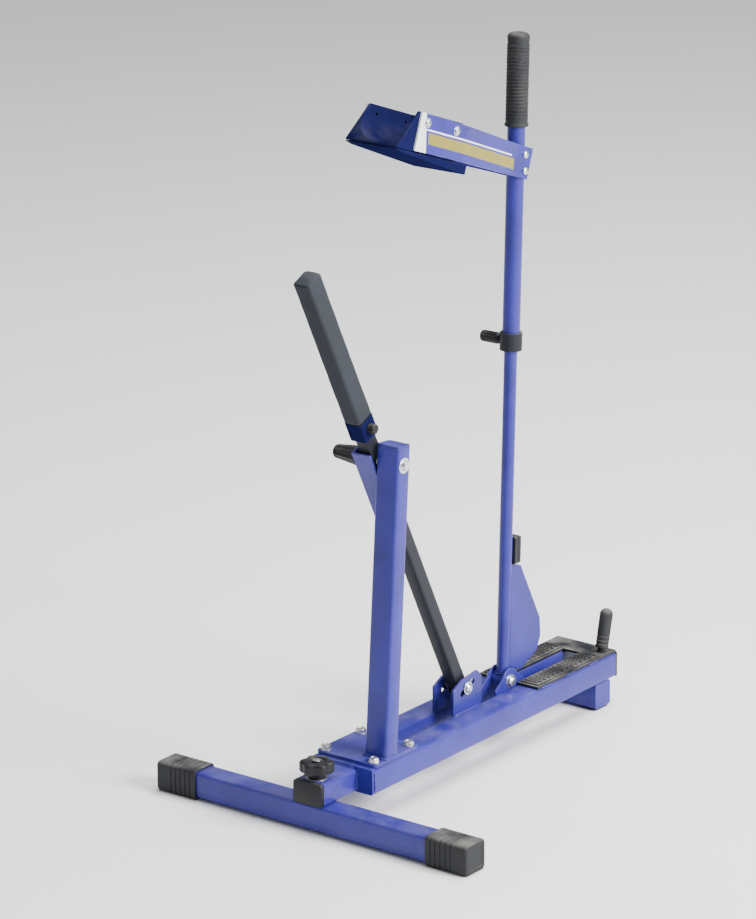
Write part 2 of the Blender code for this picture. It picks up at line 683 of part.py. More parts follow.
def make_heel_peg():
    """The short leaning peg behind the operator's heel, with its domed rubber sleeve."""
    foot_z = PLATE_BOTTOM + FOOT_PLATE_THICKNESS + GAP
    root = frame("heel_peg_axis", at_base(HEEL_PEG_Y, HEEL_PEG_X, foot_z), -HEEL_PEG_LEAN)
    tip = HEEL_SLEEVE_TOP - 0.0055
    low = -0.006
    peg_mesh = turned_mesh([(0.0, tip), (HEEL_PEG_RADIUS, tip), (HEEL_PEG_RADIUS, low), (0.0, low)], 20)
    peg = node("heel_peg", peg_mesh, BLACK, root)
    ground_place = at_base(HEEL_PEG_Y, HEEL_PEG_X, foot_z - 0.025)
    boolean(peg, cutter("heel_peg_cut", box_mesh((0.1, 0.1, 0.05)), None, ground_place))
    radius = HEEL_SLEEVE_RADIUS
    profile = [(0.0, HEEL_SLEEVE_TOP), (radius * 0.55, HEEL_SLEEVE_TOP - 0.0012)]
    profile += [(radius * 0.88, HEEL_SLEEVE_TOP - 0.0042), (radius, HEEL_SLEEVE_TOP - 0.0090)]
    profile += [(radius, 0.006), (0.0, 0.006)]
    sleeve = node("heel_sleeve", turned_mesh(profile, 24), RUBBER, root)
    bore_length = 0.060
    bore = cutter("heel_sleeve_bore", pipe_solid(HEEL_PEG_RADIUS + GAP, bore_length), root)
    bore.location = (0.0, 0.0, tip + GAP - bore_length / 2.0)
    boolean(sleeve, bore)


def mat_mesh(width, length, ribs):
    """A rubber mat with cross ribs, as a toothed outline extruded across its width."""
    low = 0.0016
    high = 0.0030
    pitch = length / ribs
    outline = [(-length / 2.0, 0.0), (length / 2.0, 0.0)]
    for rib in reversed(range(ribs)):
        start = -length / 2.0 + rib * pitch
        outline += [(start + pitch, low), (start + pitch * 0.85, high), (start + pitch * 0.25, high)]
        outline += [(start + pitch * 0.1, low)]
    outline += [(-length / 2.0, low)]
    return outline_mesh([outline], width, "X", (0.0, 0.0, 0.0), 20.0)


def make_lower_arm(root):
    """The hub, lower tube, gusset and rear bumper of the throwing arm."""
    bush_flange = RAIL_SPACING / 2.0 - TUBE / 2.0 - GAP - 0.003 - GAP - 0.0008
    hub_length = 2.0 * (bush_flange - GAP)
    hub = node("arm_hub", pipe_mesh(0.0125, 0.0073, hub_length, "X", count=28), BLUE, root)
    round_edges(hub, 0.0006, 1, 60.0)
    foot = 0.0128
    length = LOWER_TUBE_TOP - foot
    middle = (0.0, 0.0, (LOWER_TUBE_TOP + foot) / 2.0)
    inner = LOWER_TUBE_RADIUS - ARM_TUBE_WALL
    node("arm_lower_tube", pipe_mesh(LOWER_TUBE_RADIUS, inner, length, "Z", middle), BLUE, root)
    rear = LOWER_TUBE_RADIUS + GAP
    gusset = [
        (rear, 0.018),
        (0.040, 0.006),
        (0.080, 0.026),
        (0.088, 0.046),
        (0.0855, 0.074),
        (0.034, 0.166),
        (rear, 0.172),
    ]
    node("arm_gusset", outline_mesh([gusset], 0.008, "X"), BLUE, root)
    bumper_mesh = outline_mesh([rectangle_loop(0.020, 0.016, 0.003)], 0.041, "Z", (0.0, rear + 0.008, 0.1935))
    bumper = node("rear_bumper", bumper_mesh, RUBBER, root)
    round_edges(bumper, 0.0020, 2, 60.0)


def make_upper_arm(root):
    """The sliding upper tube, its bush, collar and hand grip."""
    inner = UPPER_TUBE_RADIUS - ARM_TUBE_WALL
    length = UPPER_TUBE_TOP - UPPER_TUBE_FOOT
    middle = (0.0, 0.0, (UPPER_TUBE_TOP + UPPER_TUBE_FOOT) / 2.0)
    mesh = pipe_mesh(UPPER_TUBE_RADIUS, inner, length, "Z", middle)
    tube = node("arm_upper_tube", mesh, BLUE, root)
    screw_z = UPPER_TUBE_FOOT + 0.012
    screw_hole = cutter("tube_screw_hole", pipe_solid(0.0036, 0.02, "X"), root, (-0.016, 0.0, screw_z))
    boolean(tube, screw_hole)
    for lift in CARRIER_BOLT_LIFTS:
        hole = cutter(f"tube_carrier_hole_{lift}", pipe_solid(0.0034, 0.05, "X"), root, (0.0, 0.0, lift))
        boolean(tube, hole)
    bush = pipe_mesh(inner - GAP, LOWER_TUBE_RADIUS + GAP, 0.030, "Z", (0.0, 0.0, UPPER_TUBE_FOOT + 0.036))
    node("slide_bush", bush, NYLON, root)
    make_arm_collar(root, screw_z)
    make_grip(root)


def make_arm_collar(root, screw_z):
    """The clamp collar on the foot of the upper tube, and its side knob."""
    outer = UPPER_TUBE_RADIUS + 0.0035
    mesh = pipe_mesh(outer, UPPER_TUBE_RADIUS + GAP, 0.026, "Z", (0.0, 0.0, screw_z))
    collar = node("arm_clamp_collar", mesh, BLACK, root)
    hole = cutter("collar_screw_hole", pipe_solid(0.0034, 0.02, "X"), root, (-0.016, 0.0, screw_z))
    boolean(collar, hole)
    knob_root = frame("arm_clamp_axis", (-outer, 0.0, screw_z), 0.0, root)
    node("arm_clamp_knob", knob_shell(ARM_KNOB_PROFILE, 0.0030, 0.0285), BLACK, knob_root)
    tip = outer - LOWER_TUBE_RADIUS - GAP
    screw_profile = [(0.0, tip), (0.0027, tip), (0.0027, -0.028), (0.0, -0.028)]
    node("arm_clamp_screw", turned_mesh(screw_profile, 14, "X"), STEEL, knob_root)


def knob_shell(outline, bore, depth):
    """A turned knob, blind-bored from its inner end for the screw."""
    profile = [(bore, outline[0][1]), *outline]
    inside = [(0.0, -depth), (bore, -depth)]
    mesh = bpy.data.meshes.new("knob_profile")
    shape = bmesh.new()
    points = [shape.verts.new((radius, 0.0, height)) for radius, height in profile + inside]
    for first, second in zip(points, points[1:]):
        if not (first.co.x == 0.0 and second.co.x == 0.0):
            shape.edges.new((first, second))
    shape.edges.new((points[-1], points[0]))
    shape.to_mesh(mesh)
    shape.free()
    helper = bpy.data.objects.new("knob", mesh)
    screw = helper.modifiers.new("turn", "SCREW")
    screw.steps = 20
    screw.render_steps = 20
    screw.use_merge_vertices = True
    screw.merge_threshold = 0.00001
    turned = mesh_of(helper)
    turned.transform(Matrix.Rotation(math.radians(90.0), 4, "Y"))
    return tidy_mesh(turned)


def make_grip(root):
    """The rubber hand grip, closed over the top of the arm."""
    top = UPPER_TUBE_TOP + 0.007
    length = top - GRIP_FOOT
    profile = [(GRIP_RADIUS - 0.001, GRIP_FOOT), (GRIP_RADIUS + 0.001, GRIP_FOOT + 0.004)]
    profile += [(GRIP_RADIUS, GRIP_FOOT + 0.010), (GRIP_RADIUS, top - 0.006)]
    profile += [(GRIP_RADIUS - 0.002, top - 0.0015), (GRIP_RADIUS - 0.005, top), (0.0, top)]
    grip = node("hand_grip", turned_mesh(list(reversed(closed_foot(profile))), 28), RUBBER, root)
    bore = cutter("grip_bore", pipe_solid(UPPER_TUBE_RADIUS + GAP, length, "Z", 28), root)
    bore.location = (0.0, 0.0, GRIP_FOOT + length / 2.0 - 0.0067)
    boolean(grip, bore)


def closed_foot(profile):
    """Close a profile that starts away from the axis."""
    return [(0.0, profile[0][1])] + profile


def carrier_outline():
    """Plan of one side plate: along the tube, then flaring out, then parallel."""
    near = UPPER_TUBE_RADIUS + 0.0006
    far = CARRIER_HALF_WIDTH - CARRIER_SHEET
    return [(near, -0.013), (near, 0.020), (near + 0.0015, 0.032), (far - 0.0015, 0.188), (far, 0.200)]


def make_carrier(upper):
    """The two side plates, the ball cup and the bolts that join them."""
    place_z = (CARRIER_Z - PIVOT_Z) / math.cos(ARM_LEAN)
    root = frame("carrier_axis", (0.0, 0.0, place_z), -CARRIER_LEAN + ARM_LEAN, upper)
    for side, sign in (("left", 1.0), ("right", -1.0)):
        plate = node(f"carrier_plate_{side}", carrier_plate_mesh(sign), BLUE, root)
        holes = [(sign * 0.013, 0.0, lift) for lift in CARRIER_BOLT_LIFTS]
        for index, place in enumerate(holes):
            hole = cutter(f"plate_hole_{side}_{index}", pipe_solid(0.0034, 0.02, "X"), upper, place)
            boolean(plate, hole)
        for index, reach in enumerate(CUP_BOLTS):
            hole = cutter(f"cup_hole_{side}_{index}", pipe_solid(0.0028, 0.02, "X"), root)
            hole.location = (sign * CARRIER_HALF_WIDTH, -reach, CUP_BOLT_LIFT)
            boolean(plate, hole)
    make_cup(root)
    make_carrier_bolts(upper)


def carrier_plate_mesh(sign):
    """One folded side plate, a strip of sheet that grows taller towards the cup."""
    surface = bpy.data.meshes.new("plate")
    shape = bmesh.new()
    plan = carrier_outline() + [(CARRIER_HALF_WIDTH - CARRIER_SHEET, CARRIER_LENGTH)]
    rows = []
    for x, reach in plan:
        half = 0.0222 + 0.0043 * max(0.0, reach) / CARRIER_LENGTH
        rows.append([shape.verts.new((sign * x, -reach, lift)) for lift in (-half, half)])
    for (low_a, high_a), (low_b, high_b) in zip(rows, rows[1:]):
        shape.faces.new((low_a, low_b, high_b, high_a))
    shape.to_mesh(surface)
    shape.free()
    helper = bpy.data.objects.new("plate", surface)
    solidify = helper.modifiers.new("sheet", "SOLIDIFY")
    solidify.thickness = CARRIER_SHEET
    solidify.offset = -sign
    solidify.use_even_offset = True
    return tidy_mesh(mesh_of(helper), 20.0)


def make_cup(root):
    """The moulded scoop that holds the ball, on a wedge-shaped tongue."""
    outer = CARRIER_HALF_WIDTH - CARRIER_SHEET - 0.0006
    side_view = [
        (-CUP_REAR, CUP_FLOOR),
        (-CUP_FRONT, CUP_FLOOR - 0.0022),
        (-CUP_FRONT, CUP_FLOOR),
        (-CARRIER_LENGTH, 0.0268),
        (-CUP_REAR, 0.0268),
    ]
    body = outline_mesh([side_view], 2.0 * outer, "X")
    cup = node("ball_cup", body, NAVY, root)
    round_edges(cup, 0.0012, 1, 50.0)
    trough_radius = BALL_RADIUS + 0.0028
    trough = pipe_solid(trough_radius, 0.2, "Y", 40)
    trough_place = (0.0, -0.2095 - 0.1, CUP_FLOOR + 0.004 + trough_radius)
    boolean(cup, cutter("cup_trough", trough, root, trough_place))
    upper_box = box_mesh((2.0 * trough_radius, 0.2, 0.08))
    upper_place = (0.0, -0.2095 - 0.1, CUP_FLOOR + 0.044 + trough_radius)
    boolean(cup, cutter("cup_mouth", upper_box, root, upper_place))
    for index, reach in enumerate(CUP_BOLTS):
        place = (0.0, -reach, CUP_BOLT_LIFT)
        hole = cutter(f"cup_bolt_hole_{index}", pipe_solid(0.0026, 0.12, "X"), root, place)
        boolean(cup, hole)
    tongue_top = CUP_FLOOR - 0.0026
    tongue_view = [
        (-0.177, -0.0405),
        (-0.330, -0.0335),
        (-0.3445, tongue_top - 0.0012),
        (-0.3445, tongue_top),
        (-0.177, -0.0268),
    ]
    tongue = node("cup_tongue", outline_mesh([tongue_view], 0.088, "X"), NAVY, root)
    round_edges(tongue, 0.0010, 1, 50.0)


def make_carrier_bolts(upper):
    """Two bolts through the side plates and the arm tube."""
    grip = UPPER_TUBE_RADIUS + 0.0006 + CARRIER_SHEET + 0.0006
    for name, lift in zip(("lower", "upper"), CARRIER_BOLT_LIFTS):
        profile = [(0.0, 0.0034), (0.0032, 0.0034), (0.0052, 0.002), (0.0058, 0.0), (0.003, 0.0)]
        profile += [(0.003, -2.0 * grip), (0.0058, -2.0 * grip), (0.0058, -2.0 * grip - 0.0045)]
        profile += [(0.0, -2.0 * grip - 0.0045)]
        bolt = turned_mesh(profile, 12, "X", (grip, 0.0, lift))
        node(f"carrier_bolt_{name}", bolt, STEEL, upper)


def make_arm():
    """The whole throwing arm on its pivot."""
    lower = frame("arm_axis", at_base(PIVOT_Y, z=PIVOT_Z), -ARM_LEAN)
    upper = frame("upper_arm_axis", (0.0, 0.0, 0.0), 0.0, lower)
    make_lower_arm(lower)
    make_upper_arm(upper)
    make_carrier(upper)


def main():
    """Build the machine, sub-assembly by sub-assembly."""
    make_front_foot()
    make_foot_clamp()
    make_rails()
    make_front_saddle()
    make_rear_foot()
    make_post()
    make_head()
    make_bar_foot_lugs()
    make_stop_bar()
    make_pivot()
    make_foot_plate()
    make_heel_peg()
    make_arm()


main()
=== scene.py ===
import json
import math

import bmesh
import bpy
from bpy.props import FloatProperty, FloatVectorProperty, IntProperty, PointerProperty
from mathutils import Matrix, Vector, noise


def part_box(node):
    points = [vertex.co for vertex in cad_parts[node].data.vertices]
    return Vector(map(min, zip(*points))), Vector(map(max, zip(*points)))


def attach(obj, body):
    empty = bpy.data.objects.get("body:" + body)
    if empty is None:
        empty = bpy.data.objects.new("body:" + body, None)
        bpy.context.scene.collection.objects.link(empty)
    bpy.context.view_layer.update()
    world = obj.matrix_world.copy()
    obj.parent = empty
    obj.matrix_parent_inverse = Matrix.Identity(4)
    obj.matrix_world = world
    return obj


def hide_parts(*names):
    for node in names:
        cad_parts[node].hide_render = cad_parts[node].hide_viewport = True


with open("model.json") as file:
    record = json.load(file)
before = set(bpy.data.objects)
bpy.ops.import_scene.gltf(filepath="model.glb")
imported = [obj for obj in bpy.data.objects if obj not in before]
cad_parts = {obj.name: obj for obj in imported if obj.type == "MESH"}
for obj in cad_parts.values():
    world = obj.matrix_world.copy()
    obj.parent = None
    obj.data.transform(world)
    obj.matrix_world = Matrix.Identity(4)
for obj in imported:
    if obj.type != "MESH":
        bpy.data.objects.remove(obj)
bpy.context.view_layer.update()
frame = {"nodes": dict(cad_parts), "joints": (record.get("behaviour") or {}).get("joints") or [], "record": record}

bl_info = {
    "name": "Lever-Arm Pitching Machine",
    "version": (1, 0, 0),
    "blender": (4, 5, 0),
    "location": "View3D > Sidebar > Pitching",
    "description": "Finishes the lever-arm pitching machine and sets up its studio",
    "category": "Object",
}

JOINTS = {joint["name"]: joint for joint in frame["joints"]}
SLOT_OF = {part["node"]: part["material_slot"] for part in frame["record"]["subparts"]}


def leaning(place, degrees):
    """A frame at a place, tipped about the X axis."""
    return Matrix.Translation(place) @ Matrix.Rotation(math.radians(degrees), 4, "X")


BAR_LEAN, ARM_LEAN, CARRIER_LEAN, PEG_LEAN = 26.4, -2.2, -20.0, -13.0
CARRIER_FROM_PIVOT = Vector((0.0, 0.02946, 0.767))
PEG_FROM_PIVOT = Vector((0.040, 0.1945, -0.0058))
PAD_FOOT, PAD_TOP = 0.0752, 0.322
ARM_TUBE_BACK = 0.0098

PIVOT = Vector(JOINTS["arm_swing"]["pos_m"])
BAR = leaning(JOINTS["stop_bar_tilt"]["pos_m"], BAR_LEAN)
ARM = leaning(PIVOT, ARM_LEAN)
CARRIER = leaning(PIVOT + CARRIER_FROM_PIVOT, CARRIER_LEAN)
HEEL_PEG = leaning(PIVOT + PEG_FROM_PIVOT, PEG_LEAN)
ALONG_X = Matrix.Rotation(math.radians(90.0), 4, "Y")
AGAINST_X = Matrix.Rotation(math.radians(-90.0), 4, "Y")
ALONG_Y = Matrix.Rotation(math.radians(-90.0), 4, "X")
UPRIGHT = Matrix.Identity(4)


# ---------------------------------------------------------------- mesh tools


def at(x=0.0, y=0.0, z=0.0):
    """A shift by three lengths."""
    return Matrix.Translation((x, y, z))


def lofted(rings, closed=False):
    """A skin over rings of points, capped at both ends or joined end to end."""
    mesh = bpy.data.meshes.new("skin")
    shape = bmesh.new()
    loops = [[shape.verts.new(point) for point in ring] for ring in rings]
    pairs = list(zip(loops, loops[1:]))
    if closed:
        pairs.append((loops[-1], loops[0]))
    for first, second in pairs:
        for index in range(len(first)):
            following = (index + 1) % len(first)
            shape.faces.new((first[index], first[following], second[following], second[index]))
    if not closed:
        shape.faces.new(loops[0])
        shape.faces.new(loops[-1])
    bmesh.ops.recalc_face_normals(shape, faces=shape.faces)
    shape.to_mesh(mesh)
    shape.free()
    return mesh


def circle(radius, height, count=32, flutes=0, depth=0.0):
    """A ring of points about Z. Flutes press evenly spaced hollows into it."""
    points = []
    for index in range(count):
        angle = 2.0 * math.pi * index / count
        reach = radius - depth * 0.5 * (1.0 + math.cos(flutes * angle)) if flutes else radius
        points.append((reach * math.cos(angle), reach * math.sin(angle), height))
    return points


def square_ring(width, depth, radius, height, per_corner=6, along_side=4):
    """A ring of points round a rectangle with round corners."""
    arcs = []
    for corner, (sx, sy) in enumerate(((1, 1), (-1, 1), (-1, -1), (1, -1))):
        cx = sx * (width / 2.0 - radius)
        cy = sy * (depth / 2.0 - radius)
        turns = [math.pi / 2.0 * (corner + step / per_corner) for step in range(per_corner + 1)]
        arcs.append([(cx + radius * math.cos(turn), cy + radius * math.sin(turn), height) for turn in turns])
    points = []
    for arc, following in zip(arcs, arcs[1:] + arcs[:1]):
        start, end = Vector(arc[-1]), Vector(following[0])
        points += arc
        points += [tuple(start.lerp(end, step / along_side)) for step in range(1, along_side)]
    return points


def hexagon(across, height, count=32):
    """A ring of points round a hexagon about Z, given by its width across the flats."""
    points = []
    for index in range(count):
        angle = 2.0 * math.pi * index / count
        from_flat = (angle + math.pi / 6.0) % (math.pi / 3.0) - math.pi / 6.0
        reach = across / 2.0 / math.cos(from_flat)
        points.append((reach * math.cos(angle), reach * math.sin(angle), height))
    return points


def rounding(radius):
    """A quarter-round edge from its side to its top: how far in and how far below the top each step is."""
    turns = [math.radians(15.0 * step) for step in range(7)]
    return [(radius * (1.0 - math.cos(turn)), radius * (1.0 - math.sin(turn))) for turn in turns]


def turned(profile, count=32, closed=False):
    """Turn (radius, height) pairs about Z."""
    return lofted([circle(radius, height, count) for radius, height in profile], closed)


def washer(outer, inner, thickness):
    """A flat washer with eased edges, standing on z = 0."""
    ease = thickness * 0.2
    profile = [
        (inner, 0.0),
        (outer - ease, 0.0),
        (outer, ease),
        (outer, thickness - ease),
        (outer - ease, thickness),
        (inner + ease, thickness),
        (inner, thickness - ease),
    ]
    return turned(profile, 36, closed=True)


def hex_head(across, height):
    """A chamfered hexagon bolt head on z = 0, with a shallow dished top."""
    count = 36
    rings = [hexagon(across, 0.0, count), hexagon(across, height * 0.78, count)]
    reach = across * 0.53
    for scale, lift in ((0.86, height), (0.55, height), (0.50, height * 0.9)):
        rings.append(circle(reach * scale, lift, count))
    return lofted(rings)


def button_head(radius, height, key):
    """A domed screw head on z = 0 with a hexagon socket."""
    rings = [circle(radius * 0.96, 0.0), circle(radius, height * 0.12)]
    for step in range(1, 6):
        turn = math.radians(15.0 * step)
        rings.append(circle(radius * (0.42 + 0.58 * math.cos(turn)), height * (0.12 + 0.91 * math.sin(turn))))
    rings += [hexagon(key, height), hexagon(key, height * 0.35)]
    return lofted(rings)


def lobed_knob(radius, height, lobes, bore, hub, hub_height):
    """A moulded star knob with filleted lobes, a hub below and a recess round its screw."""
    count = lobes * 14
    fillet = height * 0.26
    depth = radius * 0.16
    rings = [circle(bore, -hub_height, count), circle(hub - 0.001, -hub_height, count)]
    rings += [circle(hub, -hub_height + 0.001, count), circle(hub, -0.0006, count)]
    rings.append(circle(hub + 0.0008, 0.0, count))
    for inset, lift in reversed(rounding(fillet)):
        rings.append(circle(radius - inset, lift, count, lobes, depth))
    for inset, drop in rounding(fillet):
        rings.append(circle(radius - inset, height - drop, count, lobes, depth))
    rings.append(circle(radius * 0.52, height + 0.0003, count))
    rings.append(circle(radius * 0.48, height - 0.0016, count))
    rings.append(circle(bore + 0.0020, height - 0.0018, count))
    rings.append(circle(bore + 0.0014, height + 0.0004, count))
    rings.append(circle(bore, height + 0.0004, count))
    return lofted(rings, closed=True)


def fluted_barrel(profile, flutes, depth, fluted_between):
    """A turned grip, given from the end of its bore, whose middle stretch carries fine flutes."""
    count = flutes * 6
    bore = profile[0][0]
    rings = []
    for radius, height in profile:
        inside = radius > bore and fluted_between[0] <= height <= fluted_between[1]
        rings.append(circle(radius, height, count, flutes, depth if inside else 0.0))
    return lofted(rings)


def weld_bead(points, radius, ripple=0.0021):
    """A rippled weld bead laid along straight stretches between points."""
    path = []
    travelled = 0.0
    for first, second in zip(points, points[1:]):
        start = Vector(first)
        end = Vector(second)
        length = (end - start).length
        steps = max(2, int(length / (ripple * 0.25)))
        for step in range(steps):
            path.append((start.lerp(end, step / steps), travelled + length * step / steps))
        travelled += length
    path.append((Vector(points[-1]), travelled))
    rings = []
    for index, (place, distance) in enumerate(path):
        before = path[max(0, index - 1)][0]
        after = path[min(len(path) - 1, index + 1)][0]
        heading = (after - before).normalized()
        turn = heading.to_track_quat("Z", "Y").to_matrix()
        wave = (distance / ripple) % 1.0
        swell = 0.84 + 0.16 * math.sqrt(1.0 - wave) + 0.05 * noise.noise(place * 300.0)
        fade = min(1.0, 0.35 + distance / radius * 0.4, 0.35 + (travelled - distance) / radius * 0.4)
        size = radius * swell * fade
        rings.append([tuple(place + turn @ Vector(point)) for point in circle(size, 0.0, 8)])
    return lofted(rings)


def gathered(parts):
    """Several placed meshes as one mesh."""
    shape = bmesh.new()
    for mesh, place in parts:
        mesh.transform(place)
        shape.from_mesh(mesh)
        bpy.data.meshes.remove(mesh)
    whole = bpy.data.meshes.new("gathered")
    shape.to_mesh(whole)
    shape.free()
    return whole


def soften(obj, width, segments=2, angle=40.0):
    """Round the sharp edges."""
    bevel = obj.modifiers.new("eased_edges", "BEVEL")
    bevel.width = width
    bevel.segments = segments
    bevel.limit_method = "ANGLE"
    bevel.angle_limit = math.radians(angle)
    bevel.harden_normals = True


def piece(name, mesh, place, body, slot, replaced=(), sharp=38.0):
    """Add a finished piece that rides on a body and takes a slot's finish."""
    mesh.transform(place)
    mesh.name = name
    mesh.shade_smooth()
    mesh.set_sharp_from_angle(angle=math.radians(sharp))
    mesh.materials.clear()
    mesh.materials.append(bpy.data.materials["finished_" + slot])
    obj = bpy.data.objects.new(name, mesh)
    bpy.context.scene.collection.objects.link(obj)
    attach(obj, body)
    if replaced:
        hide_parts(*replaced)
    return obj


# ------------------------------------------------------------ material tools


def feed(tree, socket, value):
    """Link a socket into another, or set a plain value on it."""
    if isinstance(value, bpy.types.NodeSocket):
        tree.links.new(value, socket)
    else:
        socket.default_value = value


def calc(tree, operation, first, second=0.0, clamp=False):
    """One Math node."""
    node = tree.nodes.new("ShaderNodeMath")
    node.operation = operation
    node.use_clamp = clamp
    feed(tree, node.inputs[0], first)
    feed(tree, node.inputs[1], second)
    return node.outputs[0]


def remap(tree, value, low, high, to_low=0.0, to_high=1.0):
    """One clamped Map Range node."""
    node = tree.nodes.new("ShaderNodeMapRange")
    feed(tree, node.inputs["Value"], value)
    node.inputs["From Min"].default_value = low
    node.inputs["From Max"].default_value = high
    node.inputs["To Min"].default_value = to_low
    node.inputs["To Max"].default_value = to_high
    return node.outputs[0]


def blend_colour(tree, factor, first, second):
    """One colour Mix node."""
    node = tree.nodes.new("ShaderNodeMix")
    node.data_type = "RGBA"
    feed(tree, node.inputs[0], factor)
    feed(tree, node.inputs[6], first)
    feed(tree, node.inputs[7], second)
    return node.outputs[2]


def cloud(tree, vector, scale, detail=3.0):
    """One Noise Texture node."""
    node = tree.nodes.new("ShaderNodeTexNoise")
    feed(tree, node.inputs["Vector"], vector)
    feed(tree, node.inputs["Scale"], scale)
    node.inputs["Detail"].default_value = detail
    return node.outputs[0]


def object_place(tree):
    """The surface's own coordinates."""
    return tree.nodes.new("ShaderNodeTexCoord").outputs["Object"]


def new_group(name, inputs, outputs):
    """A shader node group with named sockets, and its input and output nodes."""
    tree = bpy.data.node_groups.new(name, "ShaderNodeTree")
    for label, value in inputs:
        socket = tree.interface.new_socket(name=label, in_out="INPUT", socket_type="NodeSocketFloat")
        socket.default_value = value
    for label, kind in outputs:
        tree.interface.new_socket(name=label, in_out="OUTPUT", socket_type=kind)
    return tree, tree.nodes.new("NodeGroupInput"), tree.nodes.new("NodeGroupOutput")


def build_edge_wear():
    """Rubbed edges: where the rounded normal leaves the flat one, in patches."""
    inputs = (("Radius", 0.0014), ("Amount", 0.5), ("Patch Scale", 60.0))
    tree, given, out = new_group("edge_wear", inputs, (("Mask", "NodeSocketFloat"),))
    bevel = tree.nodes.new("ShaderNodeBevel")
    bevel.samples = 4
    tree.links.new(given.outputs["Radius"], bevel.inputs["Radius"])
    flat = tree.nodes.new("ShaderNodeNewGeometry").outputs["Normal"]
    compare = tree.nodes.new("ShaderNodeVectorMath")
    compare.operation = "DOT_PRODUCT"
    tree.links.new(bevel.outputs["Normal"], compare.inputs[0])
    tree.links.new(flat, compare.inputs[1])
    edge = remap(tree, calc(tree, "SUBTRACT", 1.0, compare.outputs["Value"]), 0.03, 0.22)
    patches = remap(tree, cloud(tree, object_place(tree), given.outputs["Patch Scale"], 4.0), 0.46, 0.62)
    mask = calc(tree, "MULTIPLY", calc(tree, "MULTIPLY", edge, patches), given.outputs["Amount"], True)
    tree.links.new(mask, out.inputs["Mask"])


def build_grain():
    """Fine moulded or sprayed texture: a bumped normal and a slow colour drift."""
    inputs = (("Scale", 900.0), ("Strength", 0.2), ("Drift Scale", 14.0))
    outputs = (("Normal", "NodeSocketVector"), ("Drift", "NodeSocketFloat"))
    tree, given, out = new_group("grain", inputs, outputs)
    place = object_place(tree)
    bump = tree.nodes.new("ShaderNodeBump")
    bump.inputs["Distance"].default_value = 0.0004
    tree.links.new(given.outputs["Strength"], bump.inputs["Strength"])
    tree.links.new(cloud(tree, place, given.outputs["Scale"], 2.0), bump.inputs["Height"])
    tree.links.new(bump.outputs["Normal"], out.inputs["Normal"])
    drift = remap(tree, cloud(tree, place, given.outputs["Drift Scale"], 4.0), 0.3, 0.7)
    tree.links.new(drift, out.inputs["Drift"])


def build_dust():
    """Pale dust that settles on faces which look up."""
    inputs = (("Amount", 0.3), ("Scale", 26.0))
    tree, given, out = new_group("dust", inputs, (("Mask", "NodeSocketFloat"),))
    split = tree.nodes.new("ShaderNodeSeparateXYZ")
    tree.links.new(tree.nodes.new("ShaderNodeTexCoord").outputs["Normal"], split.inputs[0])
    facing = remap(tree, split.outputs["Z"], 0.2, 0.95)
    patches = remap(tree, cloud(tree, object_place(tree), given.outputs["Scale"], 6.0), 0.38, 0.66)
    mask = calc(tree, "MULTIPLY", calc(tree, "MULTIPLY", facing, patches), given.outputs["Amount"], True)
    tree.links.new(mask, out.inputs["Mask"])


def build_scratches():
    """Short, thin scratches in scattered patches."""
    inputs = (("Amount", 0.4), ("Scale", 38.0))
    tree, given, out = new_group("scratches", inputs, (("Mask", "NodeSocketFloat"),))
    place = object_place(tree)
    stretch = tree.nodes.new("ShaderNodeMapping")
    stretch.inputs["Rotation"].default_value = (0.5, 0.3, 0.7)
    stretch.inputs["Scale"].default_value = (1.0, 1.0, 9.0)
    tree.links.new(place, stretch.inputs["Vector"])
    lines = cloud(tree, stretch.outputs[0], given.outputs["Scale"], 3.0)
    offset = calc(tree, "ABSOLUTE", calc(tree, "SUBTRACT", lines, 0.5))
    thin = remap(tree, offset, 0.0, 0.006, 1.0, 0.0)
    patches = remap(tree, cloud(tree, place, 9.0, 2.0), 0.52, 0.62)
    mask = calc(tree, "MULTIPLY", calc(tree, "MULTIPLY", thin, patches), given.outputs["Amount"], True)
    tree.links.new(mask, out.inputs["Mask"])


def build_bands():
    """The carrier's plain bands: a pale block at the front, a broad stripe and a thin line above it."""
    outputs = (("Pale", "NodeSocketFloat"), ("Stripe", "NodeSocketFloat"))
    tree, _, out = new_group("carrier_bands", (), outputs)
    place = object_place(tree)
    origin = CARRIER.translation
    reaches = []
    for direction in (CARRIER.to_3x3() @ Vector((0, -1, 0)), CARRIER.to_3x3() @ Vector((0, 0, 1))):
        project = tree.nodes.new("ShaderNodeVectorMath")
        project.operation = "DOT_PRODUCT"
        tree.links.new(place, project.inputs[0])
        project.inputs[1].default_value = direction
        reaches.append(calc(tree, "SUBTRACT", project.outputs["Value"], origin.dot(direction)))
    along, lift = reaches
    crisp = 0.0003

    def between(value, low, high):
        """One where a value lies between two others."""
        rise = remap(tree, value, low - crisp, low + crisp)
        fall = remap(tree, value, high - crisp, high + crisp, 1.0, 0.0)
        return calc(tree, "MULTIPLY", rise, fall)

    slant = 0.30
    block_start, block_end = 0.2905, 0.40
    slanted = calc(tree, "SUBTRACT", along, calc(tree, "MULTIPLY", lift, slant))
    block = between(slanted, block_start, block_end)
    line = calc(tree, "MULTIPLY", between(lift, 0.0040, 0.0062), between(along, 0.040, block_start))
    stripe = calc(tree, "MULTIPLY", between(lift, -0.0135, 0.0015), between(slanted, 0.030, 0.2850))
    tree.links.new(calc(tree, "MAXIMUM", block, line), out.inputs["Pale"])
    tree.links.new(stripe, out.inputs["Stripe"])


def use_group(tree, name, **values):
    """Place a node group in a material with its own values. Underscores stand for spaces."""
    node = tree.nodes.new("ShaderNodeGroup")
    node.node_tree = bpy.data.node_groups[name]
    for label, value in values.items():
        node.inputs[label.replace("_", " ")].default_value = value
    return node.outputs


def scaled(colour, factor):
    """A colour made lighter or darker, with full alpha."""
    return tuple(min(1.0, channel * factor) for channel in colour[:3]) + (1.0,)


